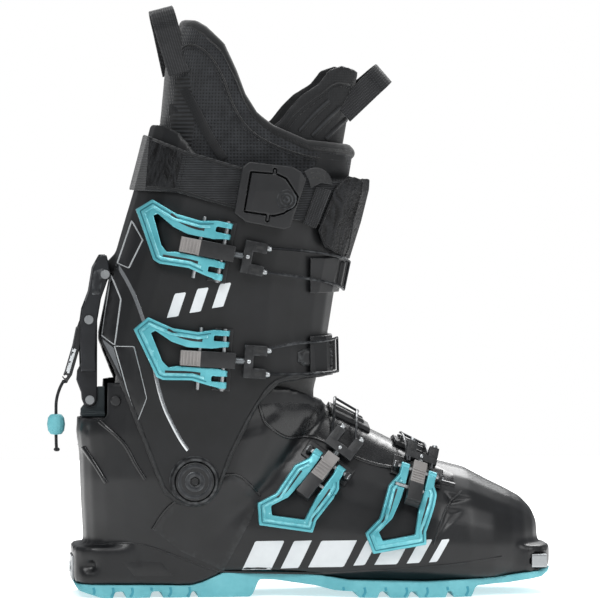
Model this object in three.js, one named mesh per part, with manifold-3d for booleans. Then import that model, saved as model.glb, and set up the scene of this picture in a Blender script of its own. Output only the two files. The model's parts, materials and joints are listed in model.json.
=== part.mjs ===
// Alpine touring boot for the right foot.
// Millimetres, +Z up, +X to the toe, the outer side of the foot at -Y.
// The origin lies on the flat of the heel tread, under the ankle.
import * as THREE from "three";
import { mergeVertices } from "three/addons/utils/BufferGeometryUtils.js";
import Module from "manifold-3d";

const wasm = await Module();
wasm.setup();

// ---- overall sizes ----
const soleLength = 304; // heel block to toe lug
const bootHeight = 371; // floor to the top of the rear pull loop
const ballWidth = 106; // across the shell at the ball of the foot

// ---- walls, gaps and fits ----
const shellWall = 4;
const cuffWall = 3.6;
const linerWall = 6.5;
const linerGap = 2.5; // shell to liner, with the instep strip between them
const seatGap = 0.3; // between two parts that touch
const pinPlay = 0.35; // bore radius less pin radius

// ---- cuff pivot ----
const pivotX = 11.2;
const pivotZ = 74.1;
const pivotShank = 6;
const pivotHead = 12;
const pivotHeadDepth = 3;
const splitRadius = 95; // the liner parts here, round the pivot

// ---- sole and fittings ----
const heelX = -63.8;
const heelBlockHalf = 35;
const toeLugHalf = 34.5;
const floorZ = 21; // inside floor of the shell
const toeWall = 5; // added to the wall in front of the toes, round the toe fitting
const boardDepth = 3;
const insoleDepth = 3.5;

// ---- buckles ----
const leverPin = 1.3;
const leverEye = 3;
const pinHeight = 4.9; // pivot pin above the shell face
const leverLow = 2.3;
const leverHigh = 7.8;
const midPin = 1.1;
const midPinBack = 15; // bail pin behind the pivot pin
const wireRadius = 0.9;

// ---- walk mechanism ----
const housingHalf = 10.4;
const housingCheek = 2.4;
const barHalf = 4.7;
const bladeHalf = 2.5;
const lockPin = 2;
const cordDiameter = 2;

// The outlines below are drawn for one boot size and stretched to the sizes above.
const drawnSole = 304;
const drawnHeight = 371;
const drawnBall = 106;
const instepX = 125;
const ankleZ = 140;
const stretchX = 1 + (soleLength - drawnSole) / (heelX + drawnSole - instepX);
const stretchZ = 1 + (bootHeight - drawnHeight) / (drawnHeight - ankleZ);
const stretchY = ballWidth / drawnBall;
const foot = (x) => (x <= instepX ? x : instepX + (x - instepX) * stretchX);
const leg = (z) => (z <= ankleZ ? z : ankleZ + (z - ankleZ) * stretchZ);

const ringSides = 24;
const boreSides = 8;

const object = new THREE.Group();

// ---------------------------------------------------------------- solids
function toSolid(geometry) {
  const bare = geometry.clone();
  bare.deleteAttribute("normal");
  bare.deleteAttribute("uv");
  const welded = mergeVertices(bare, 1e-4);
  const mesh = new wasm.Mesh({
    numProp: 3,
    vertProperties: new Float32Array(welded.attributes.position.array),
    triVerts: new Uint32Array(welded.index.array),
  });
  return new wasm.Manifold(mesh);
}

function toGeometry(solid) {
  const mesh = solid.getMesh();
  const geometry = new THREE.BufferGeometry();
  geometry.setAttribute("position", new THREE.BufferAttribute(new Float32Array(mesh.vertProperties), 3));
  geometry.setIndex(new THREE.BufferAttribute(new Uint32Array(mesh.triVerts), 1));
  geometry.computeVertexNormals();
  return geometry;
}

const join = (...solids) => solids.reduce((a, b) => a.add(b));
const cut = (first, ...rest) => rest.reduce((a, b) => a.subtract(b), first);
const common = (a, b) => a.intersect(b);

function moved(geometry, matrix) {
  return toSolid(geometry.clone().applyMatrix4(matrix));
}

function box(low, high) {
  const size = high.map((value, i) => value - low[i]);
  const middle = high.map((value, i) => (value + low[i]) / 2);
  return moved(new THREE.BoxGeometry(...size), new THREE.Matrix4().makeTranslation(...middle));
}

// A bar of round section between two points.
function rod(from, to, radius, sides = boreSides) {
  const axis = to.clone().sub(from);
  const geometry = new THREE.CylinderGeometry(radius, radius, axis.length(), sides);
  const turn = new THREE.Quaternion().setFromUnitVectors(new THREE.Vector3(0, 1, 0),
    axis.clone().normalize());
  const place = new THREE.Matrix4().compose(from.clone().add(to).multiplyScalar(0.5), turn,
    new THREE.Vector3(1, 1, 1));
  return moved(geometry, place);
}

const across = (x, z, from, to, radius, sides) =>
  rod(new THREE.Vector3(x, from, z), new THREE.Vector3(x, to, z), radius, sides);

// An outline in the side view, [x, z] points, made solid from y = from to y = to.
function sidePlate(points, from, to, holes = []) {
  const shape = new THREE.Shape(points.map(([x, z]) => new THREE.Vector2(x, z)));
  for (const hole of holes) {
    shape.holes.push(new THREE.Path(hole.map(([x, z]) => new THREE.Vector2(x, z))));
  }
  const geometry = new THREE.ExtrudeGeometry(shape, { depth: to - from, bevelEnabled: false });
  geometry.rotateX(Math.PI / 2);
  geometry.translate(0, to, 0);
  return toSolid(geometry);
}

// An outline in the plan view, [x, y] points, made solid from z = from to z = to.
function planPlate(points, from, to) {
  const shape = new THREE.Shape(points.map(([x, y]) => new THREE.Vector2(x, y)));
  const geometry = new THREE.ExtrudeGeometry(shape, { depth: to - from, bevelEnabled: false });
  geometry.translate(0, 0, from);
  return toSolid(geometry);
}

// A round wire along a smooth path.
function wire(points, radius, sides, steps) {
  const shape = new THREE.Shape();
  for (let i = 0; i < sides; i += 1) {
    const angle = (2 * Math.PI * i) / sides;
    const [x, y] = [radius * Math.cos(angle), radius * Math.sin(angle)];
    if (i === 0) shape.moveTo(x, y);
    else shape.lineTo(x, y);
  }
  const extrudePath = new THREE.CatmullRomCurve3(points, false, "centripetal");
  return toSolid(new THREE.ExtrudeGeometry(shape, { steps, bevelEnabled: false, extrudePath }));
}

// A closed solid through rings that have the same number of points.
function loft(rings) {
  const count = rings[0].length;
  const vertices = [];
  const faces = [];
  for (const ring of rings) {
    for (const point of ring) vertices.push(point.x, point.y, point.z);
  }
  for (let i = 0; i < rings.length - 1; i += 1) {
    for (let k = 0; k < count; k += 1) {
      const a = i * count + k;
      const b = i * count + ((k + 1) % count);
      faces.push(a, b, b + count, a, b + count, a + count);
    }
  }
  for (const [ring, flip] of [[0, true], [rings.length - 1, false]]) {
    const middle = new THREE.Vector3();
    for (const point of rings[ring]) middle.addScaledVector(point, 1 / count);
    const centre = vertices.length / 3;
    vertices.push(middle.x, middle.y, middle.z);
    for (let k = 0; k < count; k += 1) {
      const a = ring * count + k;
      const b = ring * count + ((k + 1) % count);
      faces.push(centre, flip ? b : a, flip ? a : b);
    }
  }
  const geometry = new THREE.BufferGeometry();
  geometry.setAttribute("position", new THREE.Float32BufferAttribute(vertices, 3));
  geometry.setIndex(faces);
  return toSolid(geometry);
}

// A smooth line through [key, value] points that never overshoots them.
function lineAt(points, key) {
  const at = Math.min(Math.max(key, points[0][0]), points[points.length - 1][0]);
  let i = 0;
  while (i < points.length - 2 && at > points[i + 1][0]) i += 1;
  const rise = (n) => (points[n + 1][1] - points[n][1]) / (points[n + 1][0] - points[n][0]);
  const blend = (p, q) => (p * q <= 0 ? 0 : (2 * p * q) / (p + q));
  const here = rise(i);
  const start = i > 0 ? blend(rise(i - 1), here) : here;
  const end = i < points.length - 2 ? blend(here, rise(i + 1)) : here;
  const span = points[i + 1][0] - points[i][0];
  const t = (at - points[i][0]) / span;
  const a = points[i][1];
  const b = points[i + 1][1];
  return a + t * span * start + t * t * (3 * (b - a) - span * (2 * start + end)) +
    t * t * t * (2 * (a - b) + span * (start + end));
}

const bend = (value, power) => Math.sign(value) * Math.abs(value) ** power;

// ---------------------------------------------------------------- body lines
// Level lines by height: rear and front x, half width, and how square the corners are.
const ankleShape = {
  rear: [[6, -55.5], [33, -56], [60, -57.5], [90, -58.5], [104, -60.5], [112, -59], [140, -54]],
  front: [[6, 58], [60, 70], [90, 84], [118, 96.5], [140, 96.5]],
  half: [[6, 35], [33, 36], [52, 40.5], [74, 46], [100, 46], [120, 45.5], [140, 45]],
  power: [[6, 2.5], [50, 2.6], [74, 2.9], [140, 2.9]],
};
const cuffShape = {
  rear: [[40, -50], [137, -49.5], [163, -46.8], [213, -36], [255, -23.6], [300, -12]],
  front: [[40, 96], [137, 98.5], [165, 98.5], [191, 103], [213, 108], [235, 115], [255, 120], [300, 122]],
  half: [[40, 51.5], [137, 51.5], [213, 53], [255, 54], [300, 53]],
  power: [[40, 4], [120, 3.8], [163, 3.1], [213, 2.6], [300, 2.4]],
};
const linerShape = {
  rear: [[20, -47], [60, -50.5], [80, -46.5], [94, -40.5], [112, -38.5], [140, -35], [163, -28.5],
    [190, -27], [213, -25], [255, -18.5], [296, -7], [331, -3.8], [355, 3.2], [366, 8]],
  front: [[20, 50], [60, 61], [90, 75], [118, 88], [140, 90.5], [165, 92], [190, 96.5], [213, 100.5],
    [255, 111], [276, 114.5], [300, 118.5], [320, 124], [334, 127]],
  half: [[20, 29], [33, 30], [52, 34.5], [74, 39.5], [140, 39.5], [163, 40.5], [190, 43.5], [213, 45.5],
    [255, 47.5], [296, 48], [331, 46], [366, 43]],
  power: [[20, 2.4], [50, 2.5], [74, 2.8], [150, 2.7], [213, 2.5], [366, 2.3]],
};
// Cross sections along the foot: crest height, half width, height of the widest point.
const footShape = {
  top: [[20, 96], [60, 110], [85, 119], [98, 118.7], [111, 112], [124, 104.8], [150, 92], [172, 82],
    [187, 79], [199, 72], [212, 65.6], [222, 60], [228, 53.5], [232, 45]],
  half: [[20, 36], [60, 42], [98, 47], [140, 52], [165, 53], [182, 52], [198, 47], [211, 39], [221, 29],
    [228, 18], [232, 7]],
  waist: [[20, 45], [98, 42], [150, 36], [200, 33], [232, 31]],
};
const footStations = [20, 60, 85, 98, 111, 124, 145, 165, 185, 200, 212, 221, 228, 232];
const instepPower = 2.05;
const solePower = 3.2;

function legRing(shape, z, offset) {
  const rear = lineAt(shape.rear, z) - offset;
  const front = lineAt(shape.front, z) + offset;
  const half = lineAt(shape.half, z) * stretchY + offset;
  const power = 2 / lineAt(shape.power, z);
  const ring = [];
  for (let k = 0; k < ringSides; k += 1) {
    const angle = (2 * Math.PI * k) / ringSides;
    const x = (rear + front) / 2 + ((front - rear) / 2) * bend(Math.cos(angle), power);
    ring.push(new THREE.Vector3(x, half * bend(Math.sin(angle), power), leg(z)));
  }
  return ring;
}

const tower = (shape, heights, offset) => loft(heights.map((z) => legRing(shape, z, offset)));

function footRing(x, offset, bottom) {
  const top = lineAt(footShape.top, x) + offset;
  const half = Math.max(lineAt(footShape.half, x) * stretchY + offset, 1.5);
  const waist = lineAt(footShape.waist, x);
  const toeward = Math.max(0, (x - instepX) / (footStations[footStations.length - 1] - instepX));
  const ring = [];
  for (let k = 0; k < ringSides; k += 1) {
    const angle = (2 * Math.PI * k) / ringSides;
    const [c, s] = [Math.cos(angle), Math.sin(angle)];
    const power = 2 / (s > 0 ? instepPower : solePower);
    const rise = s > 0 ? top - waist : waist - bottom;
    ring.push(new THREE.Vector3(foot(x) + (offset < 0 ? offset - toeWall : offset) * toeward,
      half * bend(c, power), waist + rise * bend(s, power)));
  }
  return ring;
}

const footLoft = (offset, bottom) => loft(footStations.map((x) => footRing(x, offset, bottom)));

// Half width of a body at a place in the side view, in drawn sizes.
function cuffHalf(x, z) {
  const rear = lineAt(cuffShape.rear, z);
  const front = lineAt(cuffShape.front, z);
  const power = lineAt(cuffShape.power, z);
  const part = Math.min(Math.abs((2 * x - rear - front) / (front - rear)), 0.9999);
  return lineAt(cuffShape.half, z) * stretchY * (1 - part ** power) ** (1 / power);
}

function footHalf(x, z) {
  const waist = lineAt(footShape.waist, x);
  const part = Math.min(Math.max((z - waist) / (lineAt(footShape.top, x) - waist), 0), 0.9999);
  return lineAt(footShape.half, x) * stretchY * (1 - part ** instepPower) ** (1 / instepPower);
}

// A point at a height above the outer face of a body, and the face's normal there.
function facePoint(half, x, z, height) {
  const step = 0.5;
  const place = (px, pz) => new THREE.Vector3(foot(px), -half(px, pz), leg(pz));
  const alongX = place(x + step, z).sub(place(x - step, z));
  const alongZ = place(x, z + step).sub(place(x, z - step));
  const normal = alongX.cross(alongZ).normalize();
  if (normal.y > 0) normal.negate();
  return place(x, z).addScaledVector(normal, height);
}

// ---------------------------------------------------------------- adding parts
function add(name, solid, colour, roughness = 0.5, metalness = 0) {
  const material = new THREE.MeshStandardMaterial({ color: colour, roughness, metalness });
  const mesh = new THREE.Mesh(toGeometry(solid), material);
  mesh.name = name;
  object.add(mesh);
}

const shellBlack = 0x242527;
const cuffBlack = 0x2e3033;
const trimBlack = 0x1b1c1e;
const teal = 0x5bbfcb;
const soleTeal = 0x66b8c8;
const steel = 0xc4c8ca;
const stone = 0x8c8886;
const cloth = 0x26272a;

// Layers over the cuff, between two heights above its outer face.
const cuffLevels = [48, 110, 140, 165, 190, 213, 235, 255, 275, 299];
const cuffSolid = (offset) => tower(cuffShape, cuffLevels, offset);
const cuffLayer = (low, high) => cut(cuffSolid(high), cuffSolid(low));
const footLayer = (low, high) => cut(footLoft(high, 8), footLoft(low, 9));
const wide = 90; // half depth of a cutting plate, wider than the boot
const point = (x, y, z) => new THREE.Vector3(x, y, z);
const onSide = (points) => points.map(([x, z]) => [foot(x), leg(z)]);

// ---------------------------------------------------------------- sole
const soleLine = [[-62.8, 8.5], [10, 7.7], [17, 9.5], [31, 15.6], [56, 16.9], [80, 15.6], [97, 13],
  [109, 10.9],
  [158, 9.9], [186, 11.2], [202, 11.8], [239.7, 16.4]];
const treadLine = [[239.2, 14.5], [232, 11.2], [210, 8], [189, 6.8], [186, 0], [174, 0], [173, 4],
  [170.5, 4],
  [169.5, 0], [151.5, 0], [150.5, 4], [146.5, 4], [145.5, 0], [133.5, 0], [132.5, 4], [127.5, 4], [126.5, 0],
  [114.5, 0], [112.6, 3.8], [100, 4.4], [88, 7.4], [64, 10.6], [53, 11], [49, 1.5], [47, 0], [14.5, 0],
    [13.3, 4],
  [10.5, 4], [9.5, 0], [-7.5, 0], [-8.5, 4], [-14.5, 4], [-15.5, 0], [-31, 0], [-32, 4], [-37.5, 4],
    [-38.5, 0],
  [-46, 0], [-60, 4.4]];
const heelArc = [[-63.2, -14], [-62, -24], [-58, -31], [-50, -34.5]];
const plan = [[-30, -heelBlockHalf], [20, -33], [60, -32], [95, -40], [125, -47.5], [150, -49.5], [172, -47],
  [188, -42], [200, -37], [212, -toeLugHalf], [224, -toeLugHalf], [232, -30], [237, -20], [239.6, -8]];
const planHalf = [...heelArc, ...plan].map(([x, y]) => [foot(x), y * stretchY]);
const planOutline = [...planHalf, ...[...planHalf].reverse().map(([x, y]) => [x, -y])];
const soleBlock = planPlate(planOutline, -5, 40);
const outsole = common(sidePlate(onSide([...soleLine, ...treadLine]), -wide, wide), soleBlock);
add("outsole", outsole, soleTeal, 0.6);

// ---------------------------------------------------------------- lower shell
const ankleTop = [6, 33, 46, 60, 74, 90, 104, 112, 139];
const shellBody = join(footLoft(0, 5), tower(ankleShape, ankleTop, 0));
const heelBlock = common(planPlate(planOutline, 5, 32), sidePlate([[-64, 5], [-23, 5], [-27, 32],
  [-64, 32]], -wide, wide));
const toeLug = common(
  planPlate(planOutline, 5, 31.4),
  sidePlate(onSide([[190, 5], [245, 5], [245, 31.4], [190, 31.4]]), -wide, wide),
);
const shellHollow = join(
  footLoft(-shellWall, floorZ),
  tower(ankleShape, [floorZ, 46, 60, 74, 90, 104, 112, 145], -shellWall),
);
const spine = box([-59.5, -9, 97], [-42, 9, 112]);
const throat = sidePlate([[-80, 112], [-42.5, 112], [-42, 135], [-20, 137], [30, 137], [75, 131], [98, 121],
  [103, 118], [103, 300], [-80, 300]], -wide, wide);
const spinePinX = -54.5;
const spinePinZ = 105;
const toeFittingX = foot(229.8);
const toeFittingZ = 21.6;
const toeFittingSize = [9.7, 8.2];
const rectangle = (x, z, width, height) => [
  [x - width / 2, z - height / 2], [x + width / 2, z - height / 2],
  [x + width / 2, z + height / 2], [x - width / 2, z + height / 2]];
const toeBore = sidePlate(
  rectangle(toeFittingX, toeFittingZ, toeFittingSize[0] + 2 * seatGap, toeFittingSize[1] + 2 * seatGap),
    -wide, wide);
const heelPocket = box([heelX - 1, -15.5, 9.6], [heelX + 2.2, 15.5, 25.4]);
const underSole = sidePlate(onSide([...soleLine.map(([x, z]) => [x, z + seatGap]), [260, 18], [260, -20],
  [-90, -20], [-90, 8.5]]), -wide, wide);
const slots = [-1, 1].map((side) => sidePlate([[-60, 16.3], [-49, 16.3], [-49, 23.8], [-60, 23.8]],
  side > 0 ? heelBlockHalf - 6 : -heelBlockHalf - 2, side > 0 ? heelBlockHalf + 2 : -heelBlockHalf + 6));
const screwBore = rod(point(heelX - 1, 0, 17.5), point(heelX + 16, 0, 17.5), 2 + pinPlay);
const pivotBore = across(pivotX, pivotZ, -wide, wide, pivotShank + pinPlay, 24);
let shell = cut(join(cut(join(shellBody, heelBlock, toeLug), shellHollow), spine), throat, underSole,
  toeBore,
  heelPocket, ...slots, screwBore, pivotBore);
shell = cut(shell,
  across(spinePinX, spinePinZ, -30, 30, lockPin - 0.5 + pinPlay),
  box([-58, -bladeHalf - seatGap, 99.5], [-49.5, bladeHalf + seatGap, 113]));
add("lower_shell", shell, shellBlack, 0.32);

// ---------------------------------------------------------------- sole fittings
const toeBar = sidePlate(rectangle(toeFittingX, toeFittingZ, ...toeFittingSize),
  -toeLugHalf * stretchY - 0.3,
  toeLugHalf * stretchY + 0.3);
const toeCups = [-1, 1].map((side) => {
  const cup = new THREE.ConeGeometry(2.8, 5.6, 16);
  cup.rotateX((side * -Math.PI) / 2);
  cup.translate(toeFittingX, side * (toeLugHalf * stretchY + 0.6 - 2.8), toeFittingZ);
  return toSolid(cup);
});
add("toe_fitting", cut(toeBar, ...toeCups), steel, 0.3, 0.9);
const plateCuts = [-8.5, 8.5].map((y) => box([heelX - 1, y - 2, 9], [heelX + 3, y + 2, 19]));
add("heel_fitting", cut(box([heelX, -15, 9.9], [heelX + 1.9, 15, 25.1]), ...plateCuts,
  rod(point(heelX - 1, 0, 17.5), point(heelX + 3, 0, 17.5), 2 + pinPlay)), steel, 0.35, 0.9);
add("heel_fitting_screw", join(rod(point(heelX - 0.9, 0, 17.5), point(heelX - seatGap, 0, 17.5), 3.6, 14),
  rod(point(heelX - 0.6, 0, 17.5), point(heelX + 15, 0, 17.5), 2)), steel, 0.3, 0.9);

// ---------------------------------------------------------------- inside the shell
const bedSolid = (inset, low, high) => common(
  join(footLoft(-shellWall - inset, low), tower(ankleShape, [low, low + 5, 33, 45], -shellWall - inset)),
  box([-90, -wide, low], [foot(240), wide, high]),
);
add("boot_board", bedSolid(0.8, floorZ + seatGap, floorZ + seatGap + boardDepth), trimBlack, 0.7);
const linerFloor = floorZ + boardDepth + 2 * seatGap;
const linerOuter = (inset, bottom) => join(
  footLoft(-shellWall - linerGap - inset, bottom),
  tower(linerShape, [bottom, 45, 60, 74, 86, 96, 112, 140, 163, 176], -inset),
);
const splitRing = (radius) => across(pivotX, pivotZ, -wide, wide, radius, 60);
const footSide = join(splitRing(splitRadius - 0.4), box([-90, -wide, 0], [foot(240), wide, 95]));
add("liner_foot", common(cut(linerOuter(0, linerFloor), linerOuter(linerWall, linerFloor + 4)),
  footSide), cloth, 0.95);
add("insole", common(linerOuter(linerWall + 0.8, linerFloor + 4 + seatGap),
  box([-90, -wide, linerFloor], [foot(240), wide, linerFloor + 4 + seatGap + insoleDepth])), 0x3c3f42, 0.9);
const stripArea = sidePlate(onSide([[101, 60], [186, 60], [186, 130], [101, 130]]), -15, 15);
add("instep_gaiter", common(cut(footLoft(-shellWall - 0.4, 40), footLoft(-shellWall - 1.8, 39)), stripArea),
  trimBlack, 0.8);

// ---------------------------------------------------------------- walk mechanism, on the shell
const lowPinX = -51.9;
const lowPinZ = 122.7;
const blade = sidePlate([[-57.5, 100], [-50, 100], [-50, 112.4], [-42.3, 112.4], [-42.3, 131], [-46.5, 131],
  [-57.5, 117]], -bladeHalf, bladeHalf);
const bladeFoot = box([-57.5, -8, 112.4], [-42.3, 8, 114.4]);
add("spur_bracket", cut(join(blade, bladeFoot), across(spinePinX, spinePinZ, -9, 9, lockPin - 0.5 + pinPlay),
  across(lowPinX, lowPinZ, -9, 9, lockPin + pinPlay)), 0x3a4345, 0.5, 0.3);
add("bracket_pin", across(spinePinX, spinePinZ, -22, 22, lockPin - 0.5), steel, 0.3, 0.9);
const wingX = -37.3;
const wingZ = 123.8;
const wingHalf = ankleHalfAt(wingX, wingZ);
add("wing_rivet", cut(across(wingX, wingZ, -wingHalf - 2, -wingHalf + 3, 3.1, 14),
  tower(ankleShape, ankleTop, seatGap)), trimBlack, 0.5);

// ---------------------------------------------------------------- cuff
const cuffOutline = [[-46.8, 163], [-34.5, 133.5], [-13.3, 78.2], [-8, 66], [0, 59.5], [11.2, 57],
  [20, 59.5], [26.6, 67],
  [36, 91.5], [51.6, 121.3], [64, 134.5], [84, 137.5], [106, 138.5], [125, 138.5], [125, 232], [95, 244],
  [60, 252], [24, 262], [12, 279.5], [3, 291], [-6, 296], [-40, 296], [-60, 250], [-60, 163]];
const lockX = -42.4;
const lockZ = leg(202);
const cuffOuter = cuffSolid(0);
const cuffShell = cut(
  common(cut(cuffOuter, cuffSolid(-cuffWall)), sidePlate(cuffOutline.map(([x, z]) => [x, leg(z)]), -wide,
    wide)),
  box([-80, -housingHalf - 1.6, 100], [-10, housingHalf + 1.6, leg(203)]),
  across(pivotX, pivotZ, -wide, wide, pivotShank + pinPlay, 24),
);
const lockBoss = cut(join(
  across(lockX, lockZ, -3.8, 3.8, 4.6, 16),
  sidePlate([[lockX - 4, lockZ], [lockX + 4, lockZ - 2], [-36, lockZ + 4], [-34.2, lockZ + 14],
    [-39.5, lockZ + 9]], -3.8, 3.8),
), across(lockX, lockZ, -5, 5, lockPin + pinPlay));
add("cuff_shell", cut(join(cuffShell, lockBoss), across(lockX, lockZ, -5, 5, lockPin + pinPlay)),
  cuffBlack, 0.5);

for (const [name, side] of [["pivot_bolt_outer", -1], ["pivot_bolt_inner", 1]]) {
  const face = side * (cuffHalf(pivotX, pivotZ) + seatGap);
  const end = side * (ankleHalfAt(pivotX, pivotZ) - shellWall - 0.2);
  const head = across(pivotX, pivotZ, Math.min(face, face + side * pivotHeadDepth),
    Math.max(face, face + side * pivotHeadDepth), pivotHead, 28);
  const shank = across(pivotX, pivotZ, Math.min(end, face + side), Math.max(end, face + side),
    pivotShank, 20);
  const socket = across(pivotX, pivotZ, Math.min(face + side * 1.2, face + side * 5),
    Math.max(face + side * 1.2, face + side * 5), 3, 6);
  add(name, cut(join(head, shank), socket), trimBlack, 0.4, 0.3);
}

function ankleHalfAt(x, z) {
  const rear = lineAt(ankleShape.rear, z);
  const front = lineAt(ankleShape.front, z);
  const power = lineAt(ankleShape.power, z);
  const part = Math.min(Math.abs((2 * x - rear - front) / (front - rear)), 0.9999);
  return lineAt(ankleShape.half, z) * stretchY * (1 - part ** power) ** (1 / power);
}

// ---------------------------------------------------------------- liner, above the split
const linerLevels = [150, 165, 190, 213, 235, 255, 276, 296, 331, 350, 366];
const collarLine = [[-40, 352], [3, 355], [8.7, 360.6], [14, 360], [19.6, 356.5], [30.4, 345.8],
  [37.7, 330], [43.6, 314.2],
  [51, 302.2], [60.7, 294.6], [82.2, 285.3], [109.4, 282.5], [117, 276.2], [130, 276], [130, 120],
    [-60, 120]];
const legSide = (solid) => cut(solid, splitRing(splitRadius + 0.4), box([-90, -wide, 0], [200, wide, 118]));
const outlineSolid = (points, from = -wide, to = wide) => sidePlate(points.map(([x, z]) => [x, leg(z)]),
  from, to);
const linerShaft = legSide(common(
  cut(tower(linerShape, linerLevels, 0), tower(linerShape, [148, ...linerLevels.slice(1), 368], -linerWall)),
  outlineSolid(collarLine),
));
add("liner_shaft", linerShaft, cloth, 0.95);
const tongueLevels = [150, 165, 190, 213, 235, 255, 276, 300, 334];
const tongueInset = linerWall + 0.9;
const tongueLine = [[61, 295], [66, 299], [73, 308], [80, 315], [91, 322], [97, 330], [105.6, 333],
  [113.2, 331],
  [124, 326], [124, 140], [76, 140], [70, 200], [64, 250]];
const tongue = legSide(common(
  cut(tower(linerShape, tongueLevels, -tongueInset), tower(linerShape,
    [148, ...tongueLevels.slice(1, -1), 336],
    -tongueInset - 5)),
  outlineSolid(tongueLine),
));
add("liner_tongue", tongue, cloth, 0.9);

// A webbing pull loop: two legs that meet in a round top, in the plane of "rise" and Y.
function pullLoop(base, rise, width, length, spread, tip) {
  const shape = new THREE.Shape();
  const thick = 1.5;
  const arc = (radius, low) => {
    const line = [[-spread - (radius - tip), low]];
    for (let i = 0; i <= 10; i += 1) {
      const angle = Math.PI - (Math.PI * i) / 10;
      line.push([radius * Math.cos(angle), length - tip + radius * Math.sin(angle)]);
    }
    line.push([spread + (radius - tip), low]);
    return line;
  };
  const line = [...arc(tip + thick, 0), ...arc(tip, 0).reverse()];
  shape.setFromPoints(line.map(([x, y]) => new THREE.Vector2(x, y)));
  const geometry = new THREE.ExtrudeGeometry(shape, { depth: width, bevelEnabled: false });
  const up = rise.clone().normalize();
  const side = point(0, 1, 0);
  const depth = side.clone().cross(up);
  const place = new THREE.Matrix4().makeBasis(side, up, depth).setPosition(base);
  return moved(geometry, place);
}
const rearLoop = pullLoop(point(-3.5, 0, leg(326)), point(-11, 0, 42), 15.5, bootHeight - leg(326) - 3.9,
  31, 11);
add("rear_pull_loop", cut(rearLoop, tower(linerShape, linerLevels, seatGap)), 0x303236, 0.9);
const frontLoop = pullLoop(point(101, 0, leg(309)), point(0.75, 0, 0.66), 15, 37, 24, 9);
const tongueBody = tower(linerShape, tongueLevels, -tongueInset + seatGap);
add("front_pull_loop", largest(cut(frontLoop, tongueBody)), 0x303236, 0.9);

function largest(solid) {
  return solid.decompose().sort((a, b) => b.volume() - a.volume())[0];
}

// ---------------------------------------------------------------- power strap
const strapLow = 1;
const strapHigh = 3.2;
const overStrap = strapHigh + 0.4;
const strapLine = [[-40, 292], [-16.8, 289.5], [5.7, 280], [44, 268.6], [98, 261], [135, 261],
  [135, 233], [95, 233],
  [40, 243], [0, 254], [-40, 255.5]];
add("strap_band", common(cuffLayer(strapLow, strapHigh), outlineSolid(strapLine)), 0x2b2c2f, 0.9);
const outerPatch = (outline, low, high, to = 0) => common(cuffLayer(low, high), outlineSolid(outline,
  -wide, to));
const flapLine = [[99.4, 257], [107.5, 264.2], [116, 262], [122, 262], [135, 258], [135, 212],
  [109.4, 211.7],
  [92.3, 219.9], [88.4, 230]];
add("strap_flap", outerPatch(flapLine, overStrap, overStrap + 1.8, 18), 0x202124, 0.6);
const plateLine = [[40.5, 269.9], [44.9, 273], [71.5, 269.9], [77, 267], [80.3, 262.3], [70.2, 232.6],
  [66, 231],
  [42.4, 235.7], [35.4, 241.4]];
const windowLine = [[45.2, 267.3], [62, 266], [68, 263], [75.4, 251.5], [74, 246], [66.5, 240.7],
  [60, 239], [41, 241.8]];
const plateTop = overStrap + 4.4;
const camAxis = [[60.4, 268.4], [55.4, 236.6]];
const camHeight = overStrap + 3.2;
const camEnds = camAxis.map(([x, z]) => facePoint(cuffHalf, x, z, camHeight));
const camRod = (radius, grow) => {
  const along = camEnds[1].clone().sub(camEnds[0]).normalize().multiplyScalar(grow);
  return rod(camEnds[0].clone().sub(along), camEnds[1].clone().add(along), radius);
};
add("strap_plate", cut(outerPatch(plateLine, overStrap, plateTop).subtract(outlineSolid(windowLine,
  -wide, 0)),
  camRod(1 + pinPlay, 0.6)), trimBlack, 0.45);
const camLine = [[46.2, 266.2], [61.5, 265], [67.3, 262.1], [74.4, 251.4], [73, 246.4], [66, 241.6],
  [59.8, 240], [42, 242.7]];
add("strap_cam_lever", join(outerPatch(camLine, overStrap + 2, overStrap + 4.8), camRod(1, -0.2)),
  trimBlack, 0.42);
const fanLine = [[82, 261.5]];
for (let i = 0; i <= 8; i += 1) {
  const angle = 2.3 - (i * 2.3) / 8;
  fanLine.push([86.5 + 11 * Math.cos(angle), 258.5 + 11 * Math.sin(angle)]);
}
const fanEnd = [[90, 259.8], [83.5, 256.5]];
add("strap_fan", outerPatch([...fanLine.filter(([x]) => x > 79), ...fanEnd], strapHigh + 0.4,
  strapHigh + 1.8), trimBlack, 0.5);
add("strap_tail", outerPatch([[87.2, 257.5], [96.6, 255], [87, 231.5],
  [79, 234.4]], overStrap, overStrap + 1.6),
  0x2b2c2f, 0.7);

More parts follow.
